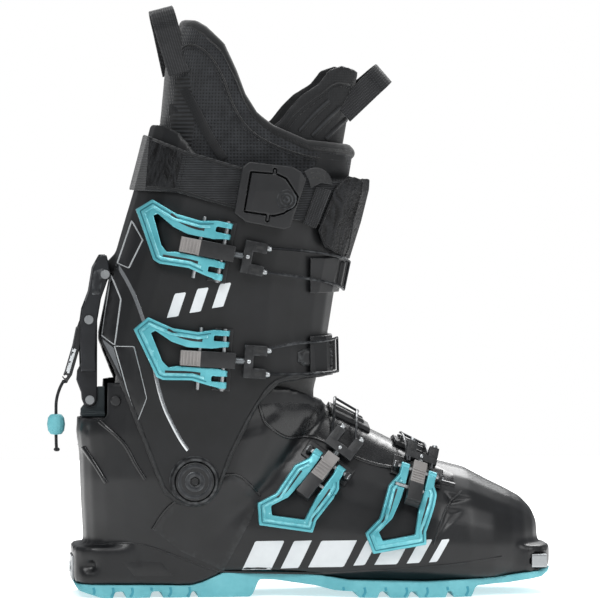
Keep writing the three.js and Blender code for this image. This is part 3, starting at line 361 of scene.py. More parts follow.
def catmull(points, steps, closed=False):
    count = len(points)
    line = []
    for i in range(count if closed else count - 1):
        a, b, c, d = [Vector(points[(i + k) % count] if closed else points[min(max(i + k, 0), count - 1)])
            for k in (-1, 0, 1, 2)]
        for s in range(steps):
            t = s / steps
            line.append(0.5 * (2 * b + (c - a) * t + (2 * a - 5 * b + 4 * c - d) * t * t
                + (3 * b - a - 3 * c + d) * t ** 3))
    if not closed:
        line.append(Vector(points[-1]))
    return line


def evenly(points, step, closed=False):
    pts = [Vector(p) for p in points] + ([Vector(points[0])] if closed else [])
    spans = [(b - a).length for a, b in zip(pts, pts[1:])]
    total = sum(spans)
    count = max(2, round(total / step))
    line, i, walked = [], 0, 0.0
    for k in range(count + (0 if closed else 1)):
        want = total * k / count
        while i < len(spans) - 1 and walked + spans[i] < want:
            walked += spans[i]
            i += 1
        line.append(pts[i].lerp(pts[i + 1], min(1, (want - walked) / max(spans[i], 1e-9))))
    return line


# Where a point of the side view meets the surface, looking in from the outer or the inner side.
def land(tree, x, z, side):
    hit = tree.ray_cast(Vector((x * millimetre, side * 0.2, z * millimetre)), Vector((0, -side, 0)))
    return hit[0], hit[1]


# Each row holds the points across the band at one station, with its base at both ends.
def bandMesh(rows, closed):
    mesh = bpy.data.meshes.new("band")
    points = [p for row in rows for p in row]
    width = len(rows[0])
    faces = []
    last = len(rows) if closed else len(rows) - 1
    for i in range(last):
        j = (i + 1) % len(rows)
        for k in range(width):
            m = (k + 1) % width
            faces.append((i * width + k, i * width + m, j * width + m, j * width + k))
    if not closed:
        faces.append(tuple(reversed(range(width))))
        faces.append(tuple(range((len(rows) - 1) * width, len(rows) * width)))
    mesh.from_pydata(points, [], faces)
    layer = mesh.uv_layers.new(name="run")
    run = [0.0]
    for a, b in zip(rows, rows[1:]):
        run.append(run[-1] + ((Vector(b[0]) + Vector(b[-1])) / 2 - (Vector(a[0]) + Vector(a[-1])) / 2).length
            * perMetre)
    span = [0.0]
    for a, b in zip(rows[0], rows[0][1:]):
        span.append(span[-1] + (Vector(b) - Vector(a)).length * perMetre)
    for polygon in mesh.polygons:
        for loop, index in zip(polygon.loop_indices, polygon.vertices):
            layer.data[loop].uv = (run[index // width], span[index % width])
    faceOut(mesh)
    return mesh


crownedBand = [(-1, 0.35), (-0.7, 0.85), (0, 1.0), (0.7, 0.85), (1, 0.35)]
flatBand = [(-1, 0.9), (-0.9, 1.0), (0.9, 1.0), (1, 0.9)]


# A band laid on a surface along a line of the side view: width and height in millimetres.
def layBand(name, tree, points, width, height, finish, body, slot, side=-1, closed=False, smooth=6,
        crown=True, sink=0.4, step=1.2):
    line = [(x, z, 0) for x, z in points]
    line = evenly(catmull(line, smooth, closed) if smooth else line, step, closed)
    rows = []
    count = len(line)
    profile = [(-1, -sink)] + (crownedBand if crown else flatBand) + [(1, -sink)]
    for i, spot in enumerate(line):
        before = line[(i - 1) % count] if closed or i else line[0]
        after = line[(i + 1) % count] if closed or i < count - 1 else line[-1]
        along = (after - before).normalized()
        across = Vector((-along.y, along.x, 0))
        row = []
        for part, rise in profile:
            place = spot + across * part * width / 2
            point, normal = land(tree, place.x, place.y, side)
            if point is None:
                break
            lift = rise * height if rise > 0 else rise
            row.append(point + normal * lift * millimetre)
        if len(row) == len(profile):
            rows.append(row)
        elif closed:
            closed = False
    if len(rows) < 2:
        print("no place for", name)
        return None
    return newPiece(name, bandMesh(rows, closed), finish, body, slot, angle=50)


def inside(x, z, outline):
    odd = False
    for (ax, az), (bx, bz) in zip(outline, outline[1:] + outline[:1]):
        if (az > z) != (bz > z) and x < (bx - ax) * (z - az) / (bz - az) + ax:
            odd = not odd
    return odd


def toEdge(x, z, outline):
    best = 1e9
    for (ax, az), (bx, bz) in zip(outline, outline[1:] + outline[:1]):
        dx, dz = bx - ax, bz - az
        t = min(1, max(0, ((x - ax) * dx + (z - az) * dz) / max(dx * dx + dz * dz, 1e-9)))
        best = min(best, math.hypot(x - ax - t * dx, z - az - t * dz))
    return best


# A panel laid on a surface inside an outline of the side view, with eased edges.
def layPanel(name, tree, outline, height, finish, body, slot, side=-1, grid=2.0, ease=1.2, sink=0.3,
        relief=None, drop=0.0):
    rim = [(p.x, p.y) for p in evenly([(x, z, 0) for x, z in outline], min(grid, 1.5), True)]
    points = [Vector(p) for p in rim]
    xs, zs = [p[0] for p in outline], [p[1] for p in outline]
    inner = []
    rows = int((max(zs) - min(zs)) / grid) + 1
    columns = int((max(xs) - min(xs)) / grid) + 1
    for r in range(rows + 1):
        for c in range(columns + 1):
            x = min(xs) + (c + 0.5 * (r % 2)) * grid
            z = min(zs) + r * grid
            if inside(x, z, outline) and toEdge(x, z, outline) > grid * 0.55:
                inner.append(Vector((x, z)))
    count = len(rim)
    points += inner
    result = delaunay_2d_cdt(points, [(i, (i + 1) % count) for i in range(count)], [], 1, 1e-5)
    flat, faces = result[0], result[2]
    top, base, keep = [], [], {}
    for i, p in enumerate(flat):
        point, normal = land(tree, p.x, p.y, side)
        if point is None:
            continue
        near = toEdge(p.x, p.y, outline)
        rise = height * (1 if ease <= 0 else min(1, 0.25 + 0.75 * (near / ease)))
        if relief:
            rise += relief(p.x, p.y) * min(1, near / 2)
        keep[i] = len(top)
        top.append(point + normal * (rise - drop) * millimetre)
        base.append(point - normal * sink * millimetre)
    total = len(top)
    sheet = [tuple(keep[i] for i in face) for face in faces if all(i in keep for i in face)]
    edges = {}
    for face in sheet:
        for a, b in zip(face, face[1:] + face[:1]):
            edges[(a, b)] = True
    walls = [(b, a, a + total, b + total) for a, b in edges if (b, a) not in edges]
    mesh = bpy.data.meshes.new(name)
    mesh.from_pydata(top + base, [], sheet + [tuple(i + total for i in reversed(f)) for f in sheet] + walls)
    layer = mesh.uv_layers.new(name="lay")
    for polygon in mesh.polygons:
        for loop, index in zip(polygon.loop_indices, polygon.vertices):
            place = mesh.vertices[index].co
            layer.data[loop].uv = (place.x * perMetre, place.z * perMetre)
    faceOut(mesh)
    return newPiece(name, mesh, finish, body, slot, angle=45)


print("helpers ready")

# Shell, cuff and sole, with the rounded edges of mouldings.
shellValues = dict(shellVoxel=1.75, cuffVoxel=1.5, soleVoxel=1.05, easing=8, cuffEasing=7)
shell = mould("lower_shell", "mouldedPolyamide", "shell_plastic", shellValues["shellVoxel"],
    shellValues["easing"])
cuff = mould("cuff_shell", "grainedCuffPlastic", "cuff_plastic", shellValues["cuffVoxel"],
    shellValues["cuffEasing"])
sole = mould("outsole", "tealSoleRubber", "sole_rubber", shellValues["soleVoxel"], 2)


# Presses the outer face in, inside an outline of the side view.
def dent(piece, outline, depthMm, easeMm):
    low = [min(p[k] for p in outline) for k in (0, 1)]
    high = [max(p[k] for p in outline) for k in (0, 1)]
    moves = []
    for vertex in piece.data.vertices:
        x, z = vertex.co.x * perMetre, vertex.co.z * perMetre
        outward = vertex.normal.y * vertex.co.y > 0.3 * abs(vertex.co.y)
        if low[0] < x < high[0] and low[1] < z < high[1] and outward and inside(x, z, outline):
            moves.append((vertex, vertex.normal * depthMm * min(1, toEdge(x, z, outline) / easeMm)
                * millimetre))
    for vertex, move in moves:
        vertex.co -= move


dent(shell, [(168, 67), (188, 62), (171, 58)], 2.2, 2.4)
dent(shell, [(168, 57), (181, 55), (161, 35)], 1.8, 3.0)
dent(shell, [(34, 112), (62, 121), (66, 117), (56, 104), (40, 100)], 1.2, 4.0)
shellTree, cuffTree, soleTree = treeOf(shell.data), treeOf(cuff.data), treeOf(sole.data)
print("shells moulded:", [len(o.data.polygons) for o in (shell, cuff, sole)])

# What is laid on the lower shell.
shellDetail = dict(panelRise=0.9, printRise=0.12)
sidePanel = [(-14.5, 43.5), (-4.4, 58), (14, 71), (36.7, 78.2), (53.1, 64.3), (47, 49), (30.4, 16.9), (4, 29)]
for side, word in sides:
    layPanel("sidePanel_" + word, shellTree, sidePanel, shellDetail["panelRise"], *shellPlain, side, 3.0, 2.4)
    layBand("sidePanelLip_" + word, shellTree, [(-14.5, 43.5), (-4.4, 58), (14, 70.5), (36.7, 78.2),
        (53.1, 64.3)], 1.3, 1.3, *shellGloss, side, smooth=4)
    layBand("toeCrease_" + word, shellTree, [(160.7, 34), (165, 46), (171, 58), (180, 66)], 1.4, 0.7,
        *shellPlain, side)
    # Moulded ribs behind the ankle, which stiffen the heel cup.
    for n, rib in enumerate([[(-46.8, 110.5), (-33, 98), (-25, 84), (-19.3, 75)],
            [(-56.9, 94), (-50, 84), (-43, 72.5)]]):
        layBand(f"heelRib{n}_{word}", shellTree, rib, 2.6, 1.3, *shellGloss, side)
    # A low moulded edge runs all along the shell above the sole.
    layBand("soleWelt_" + word, shellTree, [(-50, 33), (-20, 33.5), (30, 15.5), (60, 13.5), (110, 16),
        (160, 20), (205, 25)], 1.1, 0.5, *shellPlain, side)
    # Plain slanted bars along the side.
    for n, (start, width) in enumerate([(42, 20), (66, 13), (83, 24), (111, 9), (124, 16), (144, 10),
            (158, 7)]):
        low, high = 17.2 + 0.045 * (start - 40), 36 + 0.01 * (start - 40)
        bar = [(start, low), (start + width - 2, low + 0.4), (start + width + 6, high),
            (start + 8, high - 0.4)]
        layPanel(f"sideBar{n}_{word}", shellTree, bar, shellDetail["printRise"], "screenPrint", "root",
            "shell_plastic", side, 2.0, 0, 0.2)

# The outer flap laps over the instep: a glossy skin with a rolled lower edge.
flapEdge = [(51.9, 121.3), (55, 112), (58.2, 107.9), (65.8, 102.3), (72.7, 100), (84.8, 100.4), (93, 97.8),
    (103, 92.5), (113.8, 87.1), (126, 83), (139.8, 80.1), (158, 74.5), (176, 69.5)]
layBand("flapEdge", shellTree, flapEdge, 2.0, 1.1, *shellGloss, -1, smooth=3)
flapTop = [(176, 76), (158, 84.5), (140, 93.5), (124, 101.5), (111, 108.5), (98, 115), (89, 118), (84, 121),
    (70, 122.5)]
layPanel("outerFlap", shellTree, flapEdge + flapTop, 0.55, *shellGloss, -1, 2.6, 1.6)
print("shell dressed")

# What is laid on the cuff.
cuffDetail = dict(stripeWidth=2.2, stripeRise=0.35, facetRise=0.7, edgeWidth=0.55)
stripe = [(-35.4, 208.5), (-30.5, 200), (-25, 188), (-19, 170), (-15, 151), (-11.4, 133.3), (-7.5, 120),
    (-2.5, 109.2), (2.5, 100), (7, 93.5)]
facets = {
    "rearFacet": [(-38.6, 201.6), (-33.5, 187), (-37.6, 158.6), (-45.6, 164.6)],
    "upperFacet": [(-25.9, 235.7), (-20, 224), (-28.5, 206.5), (-34.8, 209.2)],
    "lowerFacet": [(-37.6, 157.9), (-30.4, 130.7), (-24, 112), (-18.5, 126), (-26, 158)],
}
cuffRim = [(-33.2, 136.5), (-12, 81), (-6.5, 69), (1, 62.3), (11.2, 59.8), (19, 62), (25, 69), (34, 92.5),
    (49.8, 122), (62.5, 136.6), (83, 140.2)]
for side, word in sides:
    # The bevel stripe and the flash below are painted reflection: chrome-bright where the glossy black bevels
    # catch the lights.
    layBand("cuffStripe_" + word, cuffTree, stripe, cuffDetail["stripeWidth"], cuffDetail["stripeRise"],
        *cuffPaintedReflection, side, crown=False)
    for name, outline in facets.items():
        layPanel(name + "_" + word, cuffTree, outline, cuffDetail["facetRise"], *cuffFacet, side, 2.2, 0.9)
        # Each facet's rim is pale: painted highlight on its bevelled edge.
        layBand(name + "Edge_" + word, cuffTree, outline, cuffDetail["edgeWidth"], 0.85, "paintedEdgeHighlight", "cuff",
            "cuff_plastic", side, closed=True, smooth=0, step=1.0)
    layPanel("paintedBevelFlash_" + word, cuffTree, [(-45.2, 162.4), (-38.4, 157), (-33.6, 138)], 0.3, *cuffPaintedReflection,
        side, 1.6, 0)
    layBand("cuffRim_" + word, cuffTree, cuffRim, 1.6, 0.9, "grainedCuffPlastic", "cuff", "cuff_plastic",
        side, smooth=4)
    for n in range(3):
        x = -6 + n * 14
        layPanel(f"cuffBar{n}_{word}", cuffTree, [(x, 176 + n * 3), (x + 7, 177 + n * 3),
            (x + 12, 192 + n * 3), (x + 5, 191 + n * 3)], 0.12, "screenPrint", "cuff", "cuff_plastic", side,
            2.0, 0, 0.2)


# The profile gives radius and height out of the surface in millimetres, from in to out.
def ringPiece(name, centre, profile, finish, body, slot, count=56):
    rows = []
    side = -1 if centre[1] < 0 else 1
    for i in range(count):
        c, s = math.cos(math.tau * i / count), math.sin(math.tau * i / count)
        rows.append([Vector((centre[0] + r * c, centre[1] + side * h, centre[2] + r * s)) * millimetre
            for r, h in profile])
    return newPiece(name, bandMesh(rows, True), finish, body, slot, angle=35)


pivotValues = dict(x=11.2, z=74.1, ringReach=14)
for side, word in sides:
    hit, _ = land(cuffTree, pivotValues["x"] + pivotValues["ringReach"], pivotValues["z"], side)
    face = hit.y * perMetre
    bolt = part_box("pivot_bolt_" + word)
    top = (bolt[0].y if side < 0 else bolt[1].y) * perMetre
    rise = abs(top) - abs(face)
    for name, height, profile, look in (
        ("pivotRing_", face, [(12.4, -0.4), (12.4, rise * 0.55), (12.9, rise * 0.75), (14.2, rise * 0.75),
            (15.1, 0.7), (15.8, -0.4)], ("powderCoatedBlack", "cuff")),
        ("pivotFoil_", top, [(8.6, -0.25), (8.6, 0.12), (9.0, 0.22), (10.3, 0.22), (10.7, 0.12),
            (10.7, -0.25)], ("satinHousing", "root")),
        ("pivotSocket_", top, [(3.4, -0.3), (3.4, 0.25), (3.9, 0.5), (5.7, 0.5), (6.3, 0.2), (6.3, -0.3)],
            ("satinHousing", "root")),
    ):
        ringPiece(name + word, (pivotValues["x"], height, pivotValues["z"]), profile, *look, "trim_plastic")
print("cuff dressed")

# Small moulded and forged parts: finish, slot, voxel size and easing of each.
partValues = {
    "lock_housing": ("satinHousing", "trim_plastic", 0.5, 2),
    "lock_bar": ("satinHousing", "trim_plastic", 0.45, 2),
    "hand_lever": ("blackAcetal", "trim_plastic", 0.45, 2),
    "spur_bracket": ("paintedBracket", "bracket_metal", 0.4, 2),
    "strap_plate": ("blackAcetal", "trim_plastic", 0.45, 2),
    "strap_cam_lever": ("blackAcetal", "trim_plastic", 0.4, 2),
    "strap_fan": ("blackAcetal", "trim_plastic", 0.3, 2),
    "cord_bead": ("tealSoleRubber", "teal_plastic", 0.4, 3),
    "wing_rivet": ("blackAcetal", "trim_plastic", 0.3, 1),
    "pivot_bolt_outer": ("blackAcetal", "trim_plastic", 0.5, 1),
    "pivot_bolt_inner": ("blackAcetal", "trim_plastic", 0.5, 1),
    "instep_gaiter": ("softRubber", "strip_rubber", 0.6, 2),
    "toe_fitting": ("brushedSteel", "bright_steel", 0.5, 1),
    "heel_fitting": ("brushedSteel", "bright_steel", 0.35, 1),
}
for number in (1, 2, 3, 4):
    partValues[f"buckle_{number}_lever"] = ("anodisedTeal", "teal_lever", 0.42, 3)
    partValues[f"buckle_{number}_base"] = ("powderCoatedBlack", "buckle_black", 0.4, 2)
    partValues[f"buckle_{number}_catch"] = ("powderCoatedBlack", "buckle_black", 0.42, 2)
    partValues[f"buckle_{number}_block"] = ("greyNylon", "grey_block", 0.35, 2)
parts = {}
for name, (finish, slotName, voxel, easing) in partValues.items():
    parts[name] = mould(name, finish, slotName, voxel, easing)
for name in ("bracket_pin", "lock_top_pin", "lock_bar_pin", "hand_lever_rivet_outer",
        "hand_lever_rivet_inner", "heel_fitting_screw", *[f"buckle_{n}_pin" for n in (1, 2, 3, 4)]):
    for slotItem in nodes[name].material_slots:
        slotItem.material = finishes["brushedSteel"]
for n in (1, 2, 3, 4):
    nodes[f"buckle_{n}_bail"].material_slots[0].material = finishes["blackWire"]
nodes["boot_board"].material_slots[0].material = finishes["blackAcetal"]
print("small parts moulded:", len(parts))

# The liner's section at each height, in millimetres.
linerShape = {
    "rear": [(20, -47), (60, -50.5), (80, -46.5), (94, -40.5), (112, -38.5), (140, -35), (163, -28.5),
        (190, -27), (213, -25), (255, -18.5), (296, -7), (331, -3.8), (355, 3.2), (366, 8)],
    "front": [(20, 50), (60, 61), (90, 75), (118, 88), (140, 90.5), (165, 92), (190, 96.5), (213, 100.5),
        (255, 111), (276, 114.5), (300, 118.5), (320, 124), (334, 127)],
    "half": [(20, 29), (33, 30), (52, 34.5), (74, 39.5), (140, 39.5), (163, 40.5), (190, 43.5), (213, 45.5),
        (255, 47.5), (296, 48), (331, 46), (366, 43)],
    "power": [(20, 2.4), (50, 2.5), (74, 2.8), (150, 2.7), (213, 2.5), (366, 2.3)],
}


def lineAt(points, key):
    at = min(max(key, points[0][0]), points[-1][0])
    for (a, p), (b, q) in zip(points, points[1:]):
        if at <= b:
            t = (at - a) / (b - a)
            return p + (q - p) * t
    return points[-1][1]


def legPoint(shape, z, turn, offset=0.0):
    rear, front = lineAt(shape["rear"], z) - offset, lineAt(shape["front"], z) + offset
    power = 2 / lineAt(shape["power"], z)
    half = lineAt(shape["half"], z) + offset
    c, s = math.cos(turn), math.sin(turn)
    return Vector(((rear + front) / 2 + (front - rear) / 2 * math.copysign(abs(c) ** power, c),
        half * math.copysign(abs(s) ** power, s), z))


puffSteps = 20


# Cloth over foam: the mesh is blown up a little so that it crowns between its seams.
def puff(piece, capMm, pressure=4.0, above=None):
    scene = bpy.context.scene
    start = [v.co.copy() for v in piece.data.vertices]
    group = piece.vertex_groups.new(name="held")
    for i, p in enumerate(start):
        if above is not None and p.z < above * millimetre:
            group.add([i], 1.0, "REPLACE")
    cloth = piece.modifiers.new("cloth", "CLOTH")
    cloth.settings.use_pressure = True
    cloth.settings.uniform_pressure_force = pressure
    cloth.settings.effector_weights.gravity = 0
    if above is not None:
        cloth.settings.vertex_group_mass = "held"
    scene.frame_start, scene.frame_end = 1, puffSteps
    for step in range(1, puffSteps + 1):
        scene.frame_set(step)
    graph = bpy.context.evaluated_depsgraph_get()
    blown = [v.co.copy() for v in piece.evaluated_get(graph).data.vertices]
    piece.modifiers.remove(cloth)
    scene.frame_set(1)
    limit = capMm * millimetre
    for vertex, a, b in zip(piece.data.vertices, start, blown):
        move = b - a
        if move.length > limit:
            move = move.normalized() * limit
        vertex.co = a + move
    piece.vertex_groups.remove(group)


linerDetail = dict(voxel=2.2, cap=1.6, tongueCap=0.9, softAbove=262, wrap=(45, 58))
shaft = mould("liner_shaft", "spacerMesh", "liner_cloth", linerDetail["voxel"], 3, linerDetail["wrap"])
puff(shaft, linerDetail["cap"], 4.0, linerDetail["softAbove"])
tongue = mould("liner_tongue", "smoothSynthetic", "liner_cloth", 1.3, 3, linerDetail["wrap"])
puff(tongue, linerDetail["tongueCap"], 3.0, linerDetail["softAbove"])
footBed = mould("liner_foot", "jerseyLining", "liner_cloth", 1.7, 3, linerDetail["wrap"])
footSole = mould("insole", "jerseyLining", "insole_foam", 1.2, 2, map2=((1, 0, 0), (0, 1, 0)))
shaftTree, tongueTree = treeOf(shaft.data), treeOf(tongue.data)

collarLine = [(-40, 352), (3, 355), (8.7, 360.6), (14, 360), (19.6, 356.5), (30.4, 345.8), (37.7, 330),
    (43.6, 314.2), (51, 302.2), (60.7, 294.6), (82.2, 285.3), (109.4, 282.5), (117, 276.2), (130, 276)]


def collarPoint(turn, offset):
    z = 320.0
    for _ in range(40):
        x = legPoint(linerShape, z, turn, offset).x
        z += (lineAt(collarLine, x) - z) * 0.5
    return legPoint(linerShape, z, turn, offset)


bindingValues = dict(half=3.7, stations=150, round=12, swell=0.03, waves=40, inset=-3.1, outset=0.5,
    tall=1.05, drop=2.6)


# Padded binding rolled over the collar's edge.
def collarBinding(values):
    rows = []
    half = values["half"]
    for i in range(values["stations"]):
        turn = math.tau * i / values["stations"]
        centre, outer = collarPoint(turn, values["inset"]), collarPoint(turn, values["outset"])
        out = Vector((outer.x - centre.x, outer.y - centre.y, 0)).normalized()
        swell = 1.0 + values["swell"] * math.sin(turn * values["waves"])
        angles = [math.tau * k / values["round"] for k in range(values["round"])]
        rows.append([(centre + out * math.cos(angle) * half * swell
            + Vector((0, 0, math.sin(angle) * half * values["tall"] - values["drop"]))) * millimetre
            for angle in angles])
    piece = newPiece("collarBinding", bandMesh(rows, True), *linerBinding, angle=60)


collarBinding(bindingValues)
for side, word in sides:
    layPanel("collarFrontPatch_" + word, shaftTree, [(84, 263), (90, 279), (108, 276), (112, 262)], 0.7,
        *linerSmooth, side, 2.4, 1.5)
    layPanel("collarRearPanel_" + word, shaftTree, [(0, 281), (-2, 300), (2, 325), (9, 327), (13, 305),
        (10, 281)], 0.6, *linerRibbed, side, 2.0, 1.2)
    layBand("collarSlant_" + word, shaftTree, [(6.3, 318), (14, 303), (22, 287), (29.7, 274.5)], 5.5, 0.9,
        *linerSmooth, side, crown=False)
    layBand("collarSeam_" + word, shaftTree, [(-1, 338), (10, 346), (21, 340), (29.5, 326), (36, 308),
        (45, 294), (60, 284), (82, 276.5), (104, 273.5)], 1.1, 0.7, *linerBinding, side)
    layBand("tongueSeam_" + word, tongueTree, [(66, 290), (72, 300), (82, 309), (92, 316), (101, 322),
        (111, 321)], 1.1, 0.6, *linerBinding, side)
    for n, rib in enumerate([[(78, 292), (88, 303), (97, 311)], [(86, 289), (96, 299), (105, 307)],
            [(95, 287), (104, 295), (112, 301)]]):
        layBand(f"tongueRib{n}_{word}", tongueTree, rib, 3.2, 1.0, *linerRibbed, side)
layPanel("sizeTab", shaftTree, [(-2.5, 302), (-2.5, 309), (4, 309), (4, 302)], 0.8, *linerSmooth, -1, 2.0,
    0.6)
print("liner made")


throatValues = dict(turn=78, turnSteps=48, low=96, tall=66, levelSteps=22, foldDepth=0.5, folds=7, outer=0.9,
    inner=-0.8)


# Soft throat between the shell and the cuff's front edge.
def ankleThroat(values):
    rows = []
    low, tall = values["low"], values["tall"]
    levels = [low + tall * k / values["levelSteps"] for k in range(values["levelSteps"] + 1)]
    for i in range(values["turnSteps"] + 1):
        turn = math.radians(-values["turn"] + 2 * values["turn"] * i / values["turnSteps"])
        row = []
        for z in levels:
            fold = values["foldDepth"] * math.sin((z - low) / tall * math.pi * values["folds"])
            row.append(legPoint(linerShape, z, turn, values["outer"] + fold) * millimetre)
        row += [legPoint(linerShape, z, turn, values["inner"]) * millimetre for z in reversed(levels)]
        rows.append(row)
    piece = newPiece("ankleThroat", bandMesh(rows, False), "softRubber", None, "strip_rubber", angle=50)
    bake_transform(piece)


ankleThroat(throatValues)

# Power strap and pull loops.
strap = mould("strap_band", "ribbedElastic", "webbing", 0.75, 2, wrap=(42, 66))
mould("strap_tail", "polyesterWebbing", "webbing", 0.4, 1, map2=((0.93, 0, -0.36), (0.36, 0, 0.93)))
flap = mould("strap_flap", "creasedLeather", "strap_leather", 0.5, 2)
loopUp = Vector((-11, 0, 42)).normalized()
mould("rear_pull_loop", "polyesterWebbing", "webbing", 0.5, 1, map2=((loopUp.z, 0, -loopUp.x), (0, 0.6, 0.8)))
mould("front_pull_loop", "polyesterWebbing", "webbing", 0.5, 1, map2=((-0.66, 0, 0.75), (0, 0.6, 0.8)))
strapTree, flapTree = treeOf(strap.data), treeOf(flap.data)
strapDetail = dict(edgeWidth=1.6, edgeRise=0.7)
for side, word in sides:
    layBand("strapTopEdge_" + word, strapTree, [(-13, 286.6), (5.7, 278.4), (24, 272.6), (42, 267.6)],
        strapDetail["edgeWidth"], strapDetail["edgeRise"], *strapEdge, side)
    layBand("strapLowEdge_" + word, strapTree, [(-17, 257), (0, 255.6), (20, 249.5), (38, 244.8)],
        strapDetail["edgeWidth"], strapDetail["edgeRise"], *strapEdge, side)
    layPanel("strapLeather_" + word, strapTree, [(-15, 288), (5, 279.6), (-1, 255.6), (-18, 257.2)], 0.8,
        "creasedLeather", "cuff", "strap_leather", side, 2.0, 1.0)
layPanel("strapInnerFace", strapTree, [(40, 267), (97, 259.5), (96, 235), (40, 244.5)], 0.5,
    "polyesterWebbing", "cuff", "webbing", 1, 2.4, 0.8)
print("straps made")


# A row of stitches along a line of edges.
def stitchTree():
    tree = bpy.data.node_groups.new("stitchRow", "GeometryNodeTree")
    face = tree.interface
    face.new_socket("Geometry", in_out="INPUT", socket_type="NodeSocketGeometry")
    for label, value in (("Spacing", 0.0026), ("Stitch Length", 0.0017), ("Thread Radius", 0.0003)):
        face.new_socket(label, in_out="INPUT", socket_type="NodeSocketFloat").default_value = value
    face.new_socket("Thread", in_out="INPUT", socket_type="NodeSocketMaterial")
    face.new_socket("Geometry", in_out="OUTPUT", socket_type="NodeSocketGeometry")
    given = addNode(tree, "NodeGroupInput").outputs

    def step(kind, values):
        return addNode(tree, kind, values).outputs[0]

    curve = step("GeometryNodeMeshToCurve", {0: given[0]})
    even = step("GeometryNodeResampleCurve", {"mode": "LENGTH", "Curve": curve, "Length": given[1]})
    tangent = step("GeometryNodeInputTangent", {})
    turned = step("FunctionNodeAlignRotationToVector", {"axis": "Z", "Vector": tangent})
    thread = step("GeometryNodeMeshCylinder", {"Vertices": 6, "Radius": given[3], "Depth": given[2]})
    row = step("GeometryNodeInstanceOnPoints", {"Points": even, "Instance": thread, "Rotation": turned})
    solid = step("GeometryNodeRealizeInstances", {0: row})
    dressed = step("GeometryNodeSetMaterial", {"Geometry": solid, "Material": given[4]})
    addNode(tree, "NodeGroupOutput", {0: dressed})
    return tree


stitches = stitchTree()


def stitchRows(name, lines, body, slot, finish="screenPrint", spacingMm=2.6, lengthMm=1.7, radiusMm=0.28):
    points, edges = [], []
    for line in lines:
        start = len(points)
        points += line
        edges += [(start + i, start + i + 1) for i in range(len(line) - 1)]
    mesh = bpy.data.meshes.new(name + "_line")
    mesh.from_pydata(points, edges, [])
    holder = bpy.data.objects.new(name + "_line", mesh)
    addToScene(holder)
    row = holder.modifiers.new("row", "NODES")
    row.node_group = stitches
    ids = {item.name: item.identifier for item in stitches.interface.items_tree if item.in_out == "INPUT"}
    row[ids["Spacing"]] = spacingMm * millimetre
    row[ids["Stitch Length"]] = lengthMm * millimetre
    row[ids["Thread Radius"]] = radiusMm * millimetre
    row[ids["Thread"]] = finishes[finish]
    made = bake(holder, name)
    bpy.data.objects.remove(holder)
    newPiece(name, made, finish, body, slot, angle=60)


def seamOn(tree, points, side, liftMm=0.15, smooth=5):
    line = []
    for spot in evenly(catmull([(x, z, 0) for x, z in points], smooth), 1.0):
        point, normal = land(tree, spot.x, spot.y, side)
        if point is not None:
            line.append(point + normal * liftMm * millimetre)
    return line


clothFinish("blackThread", "141517", "34363A", 0.5, (0.6, 0.8), 0.05, "weave", 0.2)
seams = []
for side in (-1, 1):
    seams.append(seamOn(shaftTree, [(-1, 336), (10, 343.5), (20, 338), (28.5, 324), (35, 306), (44, 292),
        (60, 282), (82, 274.5), (104, 271.5)], side, 0.25))
    seams.append(seamOn(tongueTree, [(68, 288), (74, 298), (84, 307), (94, 314), (102, 320), (110, 319)],
        side, 0.25))
    seams.append(seamOn(strapTree, [(7, 279.5), (1.5, 256.5)], side, 0.35))
stitchRows("linerStitches", [s for s in seams if len(s) > 3], "cuff", "liner_cloth", "blackThread")
flapLine = [(100.5, 256.5), (107.5, 262.4), (118, 259.8), (112, 236), (107.5, 213.8), (95, 220.6),
    (90.2, 230), (95, 243)]
stitchRows("flapStitches", [s for s in (seamOn(flapTree, flapLine, -1, 0.2, 3),) if len(s) > 3], "cuff",
    "strap_leather", "blackThread", 1.9, 1.5, 0.32)
print("stitches made")

# Each lever's outline in its own plane: along towards the catch, and along the pivot pin.
leverOutlines = {
    "cuff": [(-7, 18.4), (-17, 16.4), (-32.6, 17.8), (-48.2, 23.6), (-56.6, 15.4), (-41, -13), (-37, -14.6),
        (-19, -13.8), (-8.2, -16.4)],
    "foot": [(-5.1, 11.4), (-9.6, 14.4), (-16, 14.9), (-33.7, 14.4), (-41.2, 17), (-57.1, -12.4),
        (-46.6, -21.1), (-35, -15.5), (-13.7, -16), (-4.7, -11.4)],
}
leverSlots = {
    "cuff": [[(-14, 11.6), (-21, 11.8), (-29, 13.6), (-36, 16.8)], [(-14, -9.6), (-21, -9.2), (-29, -9.4),
        (-36, -9.6)]],
    "foot": [[(-13, 10.2), (-20, 10.4), (-28, 10.6), (-36, 12)], [(-14, -11.4), (-22, -11.6), (-30, -11.8),
        (-37, -13.4)]],
}
